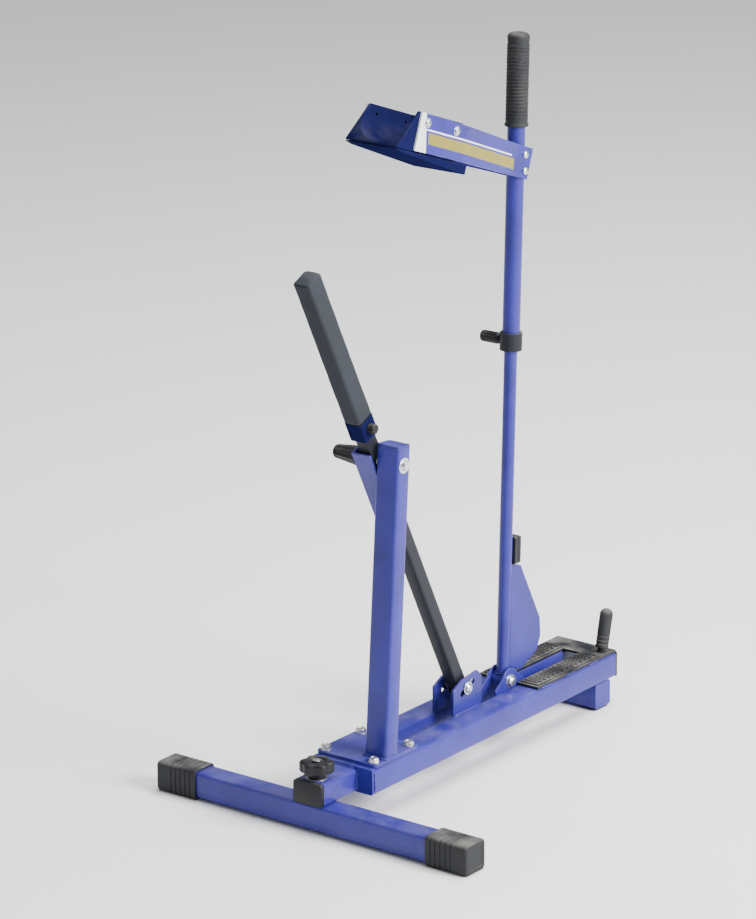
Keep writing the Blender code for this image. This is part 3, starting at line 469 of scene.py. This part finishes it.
def surface(name, colour, worn, roughness, metallic=0.0, coat=0.0, grain=(900.0, 0.2), wear=0.4, dust=0.3,
            scratches=0.3, drift=0.14, shine=0.5, bands=None):
    """A worn, slightly dusty surface. Grain is a scale and a strength, bands a pale and a stripe colour."""
    material = bpy.data.materials.new("finished_" + name)
    material.use_nodes = True
    tree = material.node_tree
    shader = tree.nodes["Principled BSDF"]
    texture = use_group(tree, "grain", Scale=grain[0], Strength=grain[1])
    base = blend_colour(tree, texture["Drift"], scaled(colour, 1.0 - drift), scaled(colour, 1.0 + drift))
    if bands:
        marks = use_group(tree, "carrier_bands")
        base = blend_colour(tree, marks["Pale"], base, (*bands[0], 1.0))
        base = blend_colour(tree, marks["Stripe"], base, (*bands[1], 1.0))
    lines = use_group(tree, "scratches", Amount=scratches)["Mask"]
    edges = use_group(tree, "edge_wear", Amount=wear)["Mask"]
    settled = use_group(tree, "dust", Amount=dust)["Mask"]
    base = blend_colour(tree, lines, base, scaled(worn, 1.0))
    base = blend_colour(tree, edges, base, scaled(worn, 1.0))
    base = blend_colour(tree, settled, base, (0.46, 0.43, 0.38, 1.0))
    tree.links.new(base, shader.inputs["Base Color"])
    rough = calc(tree, "ADD", calc(tree, "MULTIPLY", texture["Drift"], 0.10), roughness - 0.05)
    rough = calc(tree, "ADD", rough, calc(tree, "MULTIPLY", settled, 0.35))
    rough = calc(tree, "ADD", rough, calc(tree, "MULTIPLY", edges, 0.15), True)
    tree.links.new(rough, shader.inputs["Roughness"])
    tree.links.new(texture["Normal"], shader.inputs["Normal"])
    shader.inputs["Metallic"].default_value = metallic
    shader.inputs["Specular IOR Level"].default_value = shine
    shader.inputs["Coat Weight"].default_value = coat
    shader.inputs["Coat Roughness"].default_value = 0.16


# ------------------------------------------------------------------ settings


def colour_property(name, description, default):
    """A colour that a user can change."""
    return FloatVectorProperty(
        name=name, description=description, default=default, size=3, min=0.0, max=1.0, subtype="COLOR"
    )


def length_property(name, description, default, low=0.0):
    """A length that a user can change."""
    return FloatProperty(
        name=name, description=description, default=default, min=low, unit="LENGTH", precision=4
    )


class PITCHING_PG_finish(bpy.types.PropertyGroup):
    """Colours of the machine's finishes."""

    paint: colour_property("Frame Paint", "Blue powder coat of the tubes and plates", (0.026, 0.023, 0.225))
    bar_paint: colour_property("Bar Paint", "Dark coat of the stop bar and foot plate", (0.014, 0.015, 0.021))
    moulding: colour_property("Navy Moulding", "Plastic of the scoop and bar collar", (0.008, 0.009, 0.048))
    knobs: colour_property("Black Moulding", "Plastic of the knobs and front block", (0.011, 0.011, 0.013))
    rubber: colour_property("Rubber", "Boots, mats, bumper and grip", (0.017, 0.018, 0.021))
    foam: colour_property("Foam", "Sleeve on the stop bar", (0.021, 0.024, 0.032))
    steel: colour_property("Zinc", "Bolts, nuts and washers", (0.60, 0.61, 0.63))
    nylon: colour_property("Nylon", "Bushes and spacers", (0.72, 0.71, 0.67))
    band: colour_property("Pale Band", "Front block and thin line on the ball carrier", (0.74, 0.78, 0.82))
    stripe: colour_property("Stripe", "Broad stripe along the ball carrier", (0.24, 0.20, 0.028))


class PITCHING_PG_size(bpy.types.PropertyGroup):
    """Sizes of the added pieces."""

    bead: length_property("Weld Bead", "Radius of the weld beads", 0.0022, 0.0005)
    edge: length_property("Edge Rounding", "Width of the eased edges on the frame", 0.0007, 0.0001)
    bolt: length_property("Plate Bolt", "Width across the flats of the plate bolts", 0.013, 0.004)
    screw: length_property("Scoop Screw", "Radius of the scoop's screw heads", 0.0052, 0.002)
    groove: length_property("Boot Groove", "Depth of the grooves round the boots", 0.0010)
    rib: length_property("Grip Rib", "Depth of the ribs on the hand grip", 0.0009)
    dent: length_property("Foam Dent", "Depth of the worn hollow in the foam sleeve", 0.0012)
    studs: IntProperty(name="Mat Studs", description="Rows of studs on each grip mat", default=26, min=4)


# ------------------------------------------------------------------ operators


class PITCHING_OT_finishes(bpy.types.Operator):
    """Build the shared effects and one material for each finish"""

    bl_idname = "pitching.finishes"
    bl_label = "Finishes"

    def execute(self, context):
        look = context.scene.pitching_finish
        for build in (build_edge_wear, build_grain, build_dust, build_scratches, build_bands):
            build()
        sprayed = dict(grain=(420.0, 0.16), wear=0.7, drift=0.22)
        paint = dict(worn=(0.24, 0.29, 0.50), roughness=0.36, coat=0.18, shine=0.22, **sprayed)
        surface("blue_paint", look.paint, dust=0.10, scratches=0.35, **paint)
        bands = (tuple(look.band), tuple(look.stripe))
        surface("banded_paint", look.paint, dust=0.08, scratches=0.45, bands=bands, **paint)
        matt = dict(grain=(520.0, 0.14), wear=0.5, shine=0.18)
        surface("black_paint", look.bar_paint, (0.16, 0.16, 0.17), 0.46, **matt)
        moulded = dict(grain=(1300.0, 0.30), dust=0.05, shine=0.0)
        surface("navy_plastic", look.moulding, (0.05, 0.06, 0.14), 0.52, **moulded)
        textured = dict(grain=(1500.0, 0.35), dust=0.14, shine=0.22)
        surface("black_plastic", look.knobs, (0.09, 0.09, 0.10), 0.46, **textured)
        rubbery = dict(grain=(1100.0, 0.50), dust=0.26, scratches=0.1, shine=0.3)
        surface("black_rubber", look.rubber, (0.10, 0.10, 0.10), 0.66, **rubbery)
        open_celled = dict(grain=(760.0, 0.80), dust=0.10, scratches=0.05, shine=0.25)
        surface("black_foam", look.foam, (0.08, 0.08, 0.09), 0.82, **open_celled)
        plated = dict(grain=(700.0, 0.10), dust=0.15, drift=0.10)
        surface("zinc_steel", look.steel, (0.75, 0.75, 0.76), 0.34, 1.0, **plated)
        smooth = dict(grain=(900.0, 0.12), dust=0.10, drift=0.05)
        surface("white_nylon", look.nylon, (0.80, 0.79, 0.75), 0.50, **smooth)
        return {"FINISHED"}


def smoothing_nodes():
    """Geometry nodes that weld a shape and keep only its real corners sharp."""
    tree = bpy.data.node_groups.new("smooth_round_faces", "GeometryNodeTree")
    tree.interface.new_socket(name="Geometry", in_out="INPUT", socket_type="NodeSocketGeometry")
    tree.interface.new_socket(name="Geometry", in_out="OUTPUT", socket_type="NodeSocketGeometry")
    given = tree.nodes.new("NodeGroupInput")
    out = tree.nodes.new("NodeGroupOutput")
    plain = tree.nodes.new("GeometryNodeRemoveAttribute")
    plain.inputs["Name"].default_value = "custom_normal"
    weld = tree.nodes.new("GeometryNodeMergeByDistance")
    weld.inputs["Distance"].default_value = 0.00001
    smooth = tree.nodes.new("GeometryNodeSetShadeSmooth")
    smooth.domain = "FACE"
    smooth.inputs["Shade Smooth"].default_value = True
    sharp = tree.nodes.new("GeometryNodeSetShadeSmooth")
    sharp.domain = "EDGE"
    sharp.inputs["Shade Smooth"].default_value = False
    angle = tree.nodes.new("GeometryNodeInputMeshEdgeAngle")
    corner = tree.nodes.new("FunctionNodeCompare")
    corner.data_type = "FLOAT"
    corner.operation = "GREATER_THAN"
    tree.links.new(angle.outputs["Unsigned Angle"], corner.inputs[0])
    corner.inputs[1].default_value = math.radians(36.0)
    tree.links.new(corner.outputs[0], sharp.inputs["Selection"])
    chain = (given, plain, weld, smooth, sharp, out)
    for first, second in zip(chain, chain[1:]):
        tree.links.new(first.outputs[0], second.inputs[0])
    return tree


class PITCHING_OT_frame(bpy.types.Operator):
    """Finish every tube, plate and bolt of the frame and ease its edges"""

    bl_idname = "pitching.frame"
    bl_label = "Frame"

    def execute(self, context):
        edge = context.scene.pitching_size.edge
        smoothing = smoothing_nodes()
        for name, obj in frame["nodes"].items():
            banded = name.startswith("carrier_plate")
            finish = "banded_paint" if banded else SLOT_OF[name]
            obj.data.materials.clear()
            obj.data.materials.append(bpy.data.materials["finished_" + finish])
            modifier = obj.modifiers.new("smooth_round_faces", "NODES")
            modifier.node_group = smoothing
            merge = obj.modifiers.new("flat_faces", "DECIMATE")
            merge.decimate_type = "DISSOLVE"
            merge.angle_limit = math.radians(0.5)
            small = SLOT_OF[name] in ("zinc_steel", "white_nylon") or name == "cup_tongue"
            soften(obj, edge * (0.5 if small else 1.0))
        return {"FINISHED"}


def foam_ring(lift, width, depth, radius, dent, wobble):
    """One ring of the foam sleeve: bulged sides, a worn hollow at the back and a glued slit."""
    dent_height, dent_reach = 0.245, 0.030
    points = []
    for x, y, z in square_ring(width, depth, radius, lift, 7, 8):
        bulge = 0.0006 * math.cos(math.pi * min(1.0, abs(x) / (width / 2.0)) / 2.0)
        bulge *= math.copysign(1.0, y)
        hollow = 0.0
        if y > depth * 0.3:
            hollow = dent * math.exp(-(((z - dent_height) / dent_reach) ** 2)) * math.cos(x / width * math.pi)
        slit = 0.0
        if x < -width * 0.45 and z < PAD_TOP - 0.006:
            slit = 0.0007 * math.exp(-((y / 0.0008) ** 2))
        sway = wobble * noise.noise(Vector((x * 60.0, y * 60.0, z * 42.0)))
        outward = Vector((x, y, 0.0)).normalized() * sway
        points.append((x + outward.x + slit, y + bulge + outward.y - hollow, z))
    return points


class PITCHING_OT_stop_pad(bpy.types.Operator):
    """Foam sleeve over the top of the stop bar, worn where the arm strikes it"""

    bl_idname = "pitching.stop_pad"
    bl_label = "Stop Pad"

    def execute(self, context):
        dent = context.scene.pitching_size.dent
        width, depth, corner = 0.028, 0.031, 0.0045
        pocket = 0.0228
        foot_round, top_round = 0.0012, 0.0032
        rings = [square_ring(pocket, pocket, 0.003, lift, 7, 8) for lift in (PAD_TOP - 0.0036, PAD_FOOT)]
        for step in range(1, 4):
            inset = foot_round * (1.0 - step / 3.0)
            lift = PAD_FOOT + foot_round * (1.0 - math.cos(math.radians(30.0 * step)))
            rings.append(foam_ring(lift, width - 2.0 * inset, depth - 2.0 * inset, corner, dent, 0.0))
        count = 62
        straight = PAD_TOP - PAD_FOOT - foot_round - top_round
        for step in range(1, count):
            lift = PAD_FOOT + foot_round + straight * step / count
            rings.append(foam_ring(lift, width, depth, corner, dent, 0.00045))
        for inset, drop in rounding(top_round):
            size = (width - 2.0 * inset, depth - 2.0 * inset, corner + inset * 0.3)
            rings.append(foam_ring(PAD_TOP - drop, *size, dent, 0.0003))
        pad = piece("foam_sleeve", lofted(rings), BAR, "stop_bar", "black_foam", ("stop_pad",), 50.0)
        return {"FINISHED"}


class PITCHING_OT_boots(bpy.types.Operator):
    """Ribbed rubber boots on the ends of the cross foot"""

    bl_idname = "pitching.boots"
    bl_label = "Foot Boots"

    def execute(self, context):
        groove = context.scene.pitching_size.groove
        outer, pocket, length = 0.0446, 0.0386, 0.070
        wall, corner, end_round = 0.0031, 0.006, 0.0032
        for side, turn in (("left", 0.0), ("right", math.pi)):
            low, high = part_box(f"foot_boot_{side}")
            centre = (Vector(low) + Vector(high)) / 2.0
            rings = [square_ring(pocket, pocket, 0.004, lift) for lift in (length - wall, 0.0008)]
            rings.append(square_ring(pocket + 0.0012, pocket + 0.0012, 0.0045, 0.0))
            rings.append(square_ring(outer - 0.0014, outer - 0.0014, 0.0055, 0.0))
            rings.append(square_ring(outer, outer, corner, 0.0009))
            rings.append(square_ring(outer, outer, corner, 0.0060))
            for index in range(5):
                start = 0.0080 + 0.0085 * index
                for reach, inset in ((0.0, 0.0), (0.0006, groove), (0.0020, groove), (0.0026, 0.0)):
                    size = outer - 2.0 * inset
                    rings.append(square_ring(size, size, corner, start + reach))
            for inset, drop in rounding(end_round):
                size = outer - 2.0 * inset
                rings.append(square_ring(size, size, corner, length - drop))
            rings.append(square_ring(0.030, 0.030, 0.004, length))
            rings.append(square_ring(0.0292, 0.0292, 0.004, length - 0.0006))
            inner_x = centre.x - length / 2.0 if side == "left" else centre.x + length / 2.0
            place = at(inner_x, centre.y, centre.z) @ Matrix.Rotation(turn, 4, "Z") @ ALONG_X
            name = f"foot_boot_{side}"
            piece(f"ribbed_boot_{side}", lofted(rings), place, "front_foot", "black_rubber", (name,), 32.0)
        return {"FINISHED"}


class PITCHING_OT_knobs(bpy.types.Operator):
    """Star knob of the foot clamp, tapered knob of the bar clamp and the slim knob of the arm clamp"""

    bl_idname = "pitching.knobs"
    bl_label = "Clamp Knobs"

    def execute(self, context):
        star_seat, arm_collar_face = 0.0076, 0.0162
        bar_collar_face, bar_collar_height = 0.0113, 0.0595
        star = dict(radius=0.0245, height=0.0180, lobes=6, bore=0.0046, hub=0.0120, hub_height=0.0060)
        foot_place = at(*JOINTS["foot_clamp_turn"]["pos_m"]) @ at(0.0, 0.0, star_seat)
        foot = lobed_knob(**star)
        piece("foot_star_knob", foot, foot_place, "foot_clamp", "black_plastic", ("foot_clamp_knob",))
        profile = [(0.0046, 0.0222), (0.0046, 0.0004), (0.0115, 0.0004), (0.0120, 0.0010), (0.0122, 0.0030)]
        profile += [(0.0136, 0.0046), (0.0140, 0.0056), (0.0140, 0.0074), (0.0138, 0.0110), (0.0129, 0.0185)]
        profile += [(0.0118, 0.0275), (0.0106, 0.0375), (0.0103, 0.0396), (0.0101, 0.0418), (0.0096, 0.0436)]
        profile += [(0.0084, 0.0452), (0.0064, 0.0462), (0.0044, 0.0465), (0.0038, 0.0459)]
        barrel = fluted_barrel(profile, 9, 0.0015, (0.0105, 0.0400))
        bar_place = at(*JOINTS["bar_clamp_turn"]["pos_m"]) @ AGAINST_X
        piece("bar_taper_knob", barrel, bar_place, "bar_clamp", "black_plastic", ("bar_clamp_knob",))
        profile = [(0.0030, 0.0285), (0.0030, 0.0015), (0.0062, 0.0015), (0.0068, 0.0021), (0.0080, 0.0050)]
        profile += [(0.0085, 0.0062), (0.0085, 0.0070), (0.0085, 0.0300), (0.0085, 0.0310), (0.0080, 0.0328)]
        profile += [(0.0068, 0.0338), (0.0050, 0.0341), (0.0046, 0.0334)]
        slim = fluted_barrel(profile, 14, 0.0009, (0.0069, 0.0301))
        slim_place = at(*JOINTS["arm_clamp_turn"]["pos_m"]) @ at(-arm_collar_face, 0.0, 0.0) @ AGAINST_X
        piece("arm_slim_knob", slim, slim_place, "arm_clamp", "black_plastic", ("arm_clamp_knob",))
        head = [(0.0023, 0.0002), (0.0023, 0.0040), (0.0066, 0.0040), (0.0071, 0.0046), (0.0071, 0.0052)]
        head += [(0.0071, 0.0118), (0.0071, 0.0124), (0.0062, 0.0138), (0.0040, 0.0142)]
        grip = fluted_barrel(head, 12, 0.0007, (0.0050, 0.0120))
        collar_place = BAR @ at(bar_collar_face, 0.0, bar_collar_height) @ ALONG_X
        piece("collar_screw", grip, collar_place, "stop_bar", "black_plastic", ("bar_collar_screw",))
        return {"FINISHED"}


class PITCHING_OT_hand_grip(bpy.types.Operator):
    """Ribbed rubber hand grip with a domed end and a flange at its foot"""

    bl_idname = "pitching.hand_grip"
    bl_label = "Hand Grip"

    def execute(self, context):
        rib = context.scene.pitching_size.rib
        foot, top, radius, bore = 0.818, 0.951, 0.0160, 0.0131
        profile = [(bore, top - 0.0068), (bore, foot), (radius - 0.0006, foot)]
        profile += [(radius + 0.0009, foot + 0.0006), (radius + 0.0010, foot + 0.0030)]
        profile += [(radius + 0.0002, foot + 0.0046), (radius - 0.0004, foot + 0.0060)]
        pitch = 0.0050
        ribs = int((top - foot - 0.022) / pitch)
        for index in range(ribs):
            start = foot + 0.0085 + pitch * index
            profile += [(radius, start), (radius, start + pitch * 0.58)]
            profile += [(radius - rib, start + pitch * 0.68), (radius - rib, start + pitch * 0.90)]
        profile += [(radius - inset, top - drop) for inset, drop in rounding(0.007)]
        profile += [(0.0042, top + 0.0001), (0.0036, top - 0.0008), (0.0015, top - 0.0009)]
        piece("ribbed_grip", turned(profile, 56), ARM, "upper_arm", "black_rubber", ("hand_grip",), 30.0)
        return {"FINISHED"}


class PITCHING_OT_bumper(bpy.types.Operator):
    """Block-shaped rubber bumper behind the lower arm, and the rubber sleeve of the heel peg"""

    bl_idname = "pitching.bumper"
    bl_label = "Bumper and Heel Sleeve"

    def execute(self, context):
        bumper_height = 0.1935
        place = ARM @ at(0.0, ARM_TUBE_BACK, bumper_height) @ ALONG_Y
        width, height, depth, corner = 0.020, 0.041, 0.016, 0.003
        rings = []
        for waist, share in ((0.0, 0.0), (0.0, 0.42), (0.0016, 0.46), (0.0016, 0.52), (0.0, 0.56)):
            rings.append(square_ring(width - waist, height - waist, corner, depth * share))
        for inset, drop in rounding(0.0028):
            rings.append(square_ring(width - 2.0 * inset, height - 2.0 * inset, corner, depth - drop))
        rings.append(square_ring(width * 0.4, height * 0.7, 0.0015, depth))
        rings.append(square_ring(width * 0.36, height * 0.68, 0.0015, depth - 0.0008))
        piece("rubber_bumper", lofted(rings), place, "arm", "black_rubber", ("rear_bumper",), 34.0)
        radius, top = 0.0098, 0.0655
        profile = [(0.0063, top - 0.0056), (0.0063, 0.0064), (radius - 0.0008, 0.0060), (radius, 0.0070)]
        for index in range(3):
            start = 0.0110 + 0.0060 * index
            profile += [(radius, start), (radius - 0.0007, start + 0.0007), (radius - 0.0007, start + 0.0016)]
            profile.append((radius, start + 0.0023))
        for step in range(0, 8):
            turn = math.radians(11.5 * step)
            profile.append((radius * math.cos(turn), top - 0.0090 * (1.0 - math.sin(turn))))
        sleeve = turned(profile, 40)
        piece("heel_peg_sleeve", sleeve, HEEL_PEG, "base", "black_rubber", ("heel_sleeve",), 34.0)
        return {"FINISHED"}


def studded_mat(width, length, low, high, rows):
    """A rubber mat whose rim is low and whose staggered square studs are high."""
    parts = []
    rim = 0.0016
    rings = [square_ring(width, length, 0.002, 0.0), square_ring(width, length, 0.002, low * 0.8)]
    rings.append(square_ring(width - 0.0006, length - 0.0006, 0.002, low))
    rings.append(square_ring(width - 2.0 * rim, length - 2.0 * rim, 0.001, low))
    rings.append(square_ring(width - 2.0 * rim - 0.0004, length - 2.0 * rim - 0.0004, 0.001, low * 0.7))
    parts.append((lofted(rings), UPRIGHT))
    pitch = (length - 0.008) / rows
    columns = int((width - 0.006) / pitch)
    for row in range(rows):
        shift = 0.25 * pitch if row % 2 else -0.25 * pitch
        for column in range(columns):
            x = (column - (columns - 1) / 2.0) * pitch + shift
            y = (row - (rows - 1) / 2.0) * pitch
            size = pitch * 0.66
            stud = [square_ring(size, size, size * 0.22, low * 0.6, 2, 1)]
            stud.append(square_ring(size * 0.94, size * 0.94, size * 0.22, high * 0.88, 2, 1))
            stud.append(square_ring(size * 0.78, size * 0.78, size * 0.18, high, 2, 1))
            parts.append((lofted(stud), at(x, y, 0.0)))
    return gathered(parts)


class PITCHING_OT_mats(bpy.types.Operator):
    """Studded grip mats on the foot plate"""

    bl_idname = "pitching.mats"
    bl_label = "Grip Mats"

    def execute(self, context):
        rows = context.scene.pitching_size.studs
        rim_height = 0.0016
        for side in ("left", "right"):
            name = f"grip_mat_{side}"
            low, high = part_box(name)
            size = Vector(high) - Vector(low)
            mat = studded_mat(size.x, size.y, rim_height, size.z, rows)
            place = at((low[0] + high[0]) / 2.0, (low[1] + high[1]) / 2.0, low[2])
            piece(f"studded_mat_{side}", mat, place, "base", "black_rubber", (name,), 30.0)
        return {"FINISHED"}


class PITCHING_OT_screws(bpy.types.Operator):
    """Socket screws and washers that hold the scoop between the side plates"""

    bl_idname = "pitching.screws"
    bl_label = "Scoop Screws"

    def execute(self, context):
        radius = context.scene.pitching_size.screw
        face, lift = 0.0475, 0.014
        for side, sign, turn in (("left", 1.0, ALONG_X), ("right", -1.0, AGAINST_X)):
            parts = []
            for reach in (0.222, 0.292):
                place = CARRIER @ at(sign * face, -reach, lift) @ turn
                parts.append((washer(radius * 1.35, radius * 0.5, 0.0009), place @ at(0.0, 0.0, -0.0001)))
                head = button_head(radius, radius * 0.58, radius * 0.62)
                parts.append((head, place @ at(0.0, 0.0, 0.0007)))
                parts.append((turned([(0.0023, -0.0040), (0.0023, 0.0012)], 16), place))
            piece(f"scoop_screws_{side}", gathered(parts), UPRIGHT, "upper_arm", "zinc_steel", (), 30.0)
        return {"FINISHED"}


class PITCHING_OT_bolts(bpy.types.Operator):
    """Hexagon bolts through the post's foot plate, and washers under the larger fasteners"""

    bl_idname = "pitching.bolts"
    bl_label = "Bolts and Washers"

    def execute(self, context):
        across = context.scene.pitching_size.bolt
        low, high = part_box("post_foot_plate")
        inset, spread = 0.0105, 0.040
        parts = []
        for sx in (-1.0, 1.0):
            for sy in (-1.0, 1.0):
                x = sx * (high[0] - inset)
                y = (low[1] + high[1]) / 2.0 + sy * spread
                place = at(x, y, high[2])
                spin = Matrix.Rotation(0.4 * sx + 0.7 * sy, 4, "Z")
                parts.append((washer(across * 0.62, across * 0.28, 0.0015), place @ at(0.0, 0.0, -0.0001)))
                parts.append((hex_head(across, 0.0055), place @ at(0.0, 0.0, 0.0012) @ spin))
        piece("foot_plate_bolts", gathered(parts), UPRIGHT, "base", "zinc_steel", (), 30.0)
        head_face, lug_face, foot_bolt_drop = 0.0525, 0.0192, 0.4345
        head_place = BAR @ at(head_face, 0.0, 0.0) @ ALONG_X
        piece("head_bolt_washer", washer(0.0112, 0.0044, 0.0012), head_place, "base", "zinc_steel")
        foot_place = BAR @ at(0.0, 0.0, -foot_bolt_drop)
        pair = []
        for x, turn in ((lug_face, ALONG_X), (-lug_face, AGAINST_X)):
            pair.append((washer(0.0098, 0.0042, 0.0012), foot_place @ at(x, 0.0, 0.0) @ turn))
        piece("bar_foot_washers", gathered(pair), UPRIGHT, "stop_bar", "zinc_steel")
        clamp = Vector(JOINTS["foot_clamp_turn"]["pos_m"])
        disc = washer(0.0155, 0.0050, 0.0012)
        piece("foot_clamp_washer", disc, at(clamp.x, clamp.y, clamp.z + 0.0001), "base", "zinc_steel")
        rim = washer(0.0104, 0.0052, 0.0009)
        low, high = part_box("pivot_plate_left")
        piece("pivot_washer", rim, at(high[0] - 0.0001, PIVOT.y, PIVOT.z) @ ALONG_X, "base", "zinc_steel")
        return {"FINISHED"}


class PITCHING_OT_welds(bpy.types.Operator):
    """Weld beads where tubes, plates and lugs meet"""

    bl_idname = "pitching.welds"
    bl_label = "Weld Beads"

    def execute(self, context):
        bead = context.scene.pitching_size.bead
        beads = []

        def lay(points, place=UPRIGHT, radius=bead):
            """Lay one bead along points of a frame."""
            beads.append((weld_bead([tuple(place @ Vector(point)) for point in points], radius), UPRIGHT))

        low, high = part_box("post_foot_plate")
        half_x, half_y = 0.019, 0.01415
        corners = ((1, 1), (-1, 1), (-1, -1), (1, -1), (1, 1))
        post_x = 0.0335
        post_y = (low[1] + high[1]) / 2.0 - 0.012
        lay([(post_x + sx * half_x, post_y + sy * half_y, high[2] + 0.0004) for sx, sy in corners])
        low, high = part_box("front_tie_plate")
        slim_bead = bead * 0.7
        lay([(x, high[1], high[2] - 0.0003) for x in (low[0] + 0.002, high[0] - 0.002)], radius=slim_bead)
        for x in (low[0], high[0]):
            lay([(x, high[1], z) for z in (low[2] + 0.003, high[2] - 0.003)], radius=slim_bead)
        low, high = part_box("front_saddle")
        behind = high[1] + 0.0002
        for x in (high[0], -high[0]):
            lay([(x, behind, z) for z in (low[2] + 0.004, high[2] - 0.003)])
        lay([(x, behind, high[2]) for x in (low[0] + 0.004, high[0] - 0.004)])
        low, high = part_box("bar_foot_lug_left")
        for sign in (1.0, -1.0):
            x = sign * (high[0] + 0.0003)
            lay([(x, y, low[2]) for y in (low[1] + 0.004, high[1] - 0.004)])
        low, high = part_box("rear_foot_tube")
        for y in (low[1] + 0.001, high[1] - 0.001):
            lay([(low[0] + 0.004, y, high[2]), (high[0] - 0.004, y, high[2])])
        low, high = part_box("foot_plate")
        stitch = 0.022
        for x in (high[0], -high[0]):
            for start in (0.010, 0.070, 0.130):
                ends = (low[1] + start, low[1] + start + stitch)
                lay([(x, y, low[2] + 0.0004) for y in ends], radius=bead * 0.6)
        piece("frame_welds", gathered(beads), UPRIGHT, "base", "blue_paint", (), 50.0)
        beads = []
        reach, seam, dip = 0.0097, 0.0128, 0.0022
        hub = []
        for step in range(25):
            turn = math.pi * step / 12.0
            hub.append((reach * math.cos(turn), reach * math.sin(turn), seam - dip * math.sin(turn) ** 2))
        lay(hub, ARM, bead * 0.6)
        for sign in (1.0, -1.0):
            lay([(sign * 0.0045, ARM_TUBE_BACK, z) for z in (0.022, 0.166)], ARM, bead * 0.8)
        lay([(-0.0032, 0.0400, 0.0065), (-0.0032, 0.0150, 0.0140)], ARM, bead * 0.6)
        piece("arm_welds", gathered(beads), UPRIGHT, "arm", "blue_paint", (), 50.0)
        return {"FINISHED"}


def soft_light(name, place, target, size, power, colour):
    """A large soft light aimed at a point."""
    data = bpy.data.lights.new(name, "AREA")
    data.shape = "RECTANGLE"
    data.size, data.size_y = size
    data.energy = power
    data.color = colour
    light = bpy.data.objects.new(name, data)
    light.location = place
    light.rotation_euler = (Vector(target) - Vector(place)).to_track_quat("-Z", "Y").to_euler()
    bpy.context.scene.collection.objects.link(light)


def studio_camera():
    """The long-lens camera in front of the machine and to its left."""
    data = bpy.data.cameras.new("studio_camera")
    data.lens = 178.0
    data.sensor_width = 36.0
    data.clip_end = 60.0
    camera = bpy.data.objects.new("studio_camera", data)
    heading = math.radians(37.4)
    pitch = math.radians(17.5)
    level = math.cos(pitch)
    aim = Vector((-math.sin(heading) * level, math.cos(heading) * level, -math.sin(pitch)))
    roll = math.radians(-0.4)
    turn = aim.to_track_quat("-Z", "Y").to_matrix() @ Matrix.Rotation(roll, 3, "Z")
    stand = PIVOT + Vector((3.623, -5.0325, 2.29))
    camera.matrix_world = Matrix.Translation(stand) @ turn.to_4x4()
    bpy.context.scene.collection.objects.link(camera)
    bpy.context.scene.camera = camera


class PITCHING_OT_stage(bpy.types.Operator):
    """Pale floor, soft lights and the camera"""

    bl_idname = "pitching.stage"
    bl_label = "Stage"

    def execute(self, context):
        mesh = bpy.data.meshes.new("studio_floor")
        reach = 14.0
        corners = [(-reach, -reach, 0.0), (reach, -reach, 0.0), (reach, reach, 0.0), (-reach, reach, 0.0)]
        mesh.from_pydata(corners, [], [(0, 1, 2, 3)])
        material = bpy.data.materials.new("studio_floor")
        material.use_nodes = True
        tree = material.node_tree
        shader = tree.nodes["Principled BSDF"]
        shader.inputs["Roughness"].default_value = 0.9
        drift = cloud(tree, object_place(tree), 3.0)
        shades = ((0.88, 0.88, 0.87, 1.0), (0.91, 0.91, 0.90, 1.0))
        tree.links.new(blend_colour(tree, drift, *shades), shader.inputs["Base Color"])
        mesh.materials.append(material)
        floor = bpy.data.objects.new("studio_floor", mesh)
        context.scene.collection.objects.link(floor)
        world = bpy.data.worlds.new("studio_light")
        world.use_nodes = True
        world.node_tree.nodes["Background"].inputs["Color"].default_value = (0.93, 0.96, 1.0, 1.0)
        world.node_tree.nodes["Background"].inputs["Strength"].default_value = 0.45
        context.scene.world = world
        middle = (0.0, 0.0, 0.5)
        soft_light("side_light", (4.2, 0.6, 2.8), middle, (2.2, 2.2), 560.0, (1.0, 0.98, 0.95))
        soft_light("top_light", (0.2, 0.8, 4.2), middle, (2.6, 2.6), 260.0, (0.96, 0.98, 1.0))
        soft_light("front_fill", (-2.6, -4.0, 1.6), middle, (2.4, 1.8), 3.0, (0.95, 0.97, 1.0))
        studio_camera()
        return {"FINISHED"}


STEPS = (
    PITCHING_OT_finishes,
    PITCHING_OT_frame,
    PITCHING_OT_stop_pad,
    PITCHING_OT_boots,
    PITCHING_OT_knobs,
    PITCHING_OT_hand_grip,
    PITCHING_OT_bumper,
    PITCHING_OT_mats,
    PITCHING_OT_screws,
    PITCHING_OT_bolts,
    PITCHING_OT_welds,
    PITCHING_OT_stage,
)


class PITCHING_PT_sidebar(bpy.types.Panel):
    """The machine's settings and building steps"""

    bl_idname = "PITCHING_PT_sidebar"
    bl_label = "Pitching Machine"
    bl_space_type = "VIEW_3D"
    bl_region_type = "UI"
    bl_category = "Pitching"

    def draw(self, context):
        column = self.layout.column()
        for settings in (context.scene.pitching_finish, context.scene.pitching_size):
            for name in settings.__annotations__:
                column.prop(settings, name)
        for step in STEPS:
            column.operator(step.bl_idname)


CLASSES = (PITCHING_PG_finish, PITCHING_PG_size, *STEPS, PITCHING_PT_sidebar)


def register():
    """Register the classes and hang the settings on the scene."""
    for item in CLASSES:
        bpy.utils.register_class(item)
    bpy.types.Scene.pitching_finish = PointerProperty(type=PITCHING_PG_finish)
    bpy.types.Scene.pitching_size = PointerProperty(type=PITCHING_PG_size)


def unregister():
    """Take the settings and the classes away again."""
    del bpy.types.Scene.pitching_size
    del bpy.types.Scene.pitching_finish
    for item in reversed(CLASSES):
        bpy.utils.unregister_class(item)


def main():
    """Build the machine step by step."""
    register()
    for step in STEPS:
        category, name = step.bl_idname.split(".")
        getattr(getattr(bpy.ops, category), name)()
    bpy.context.view_layer.update()


if __name__ == "__main__":
    main()
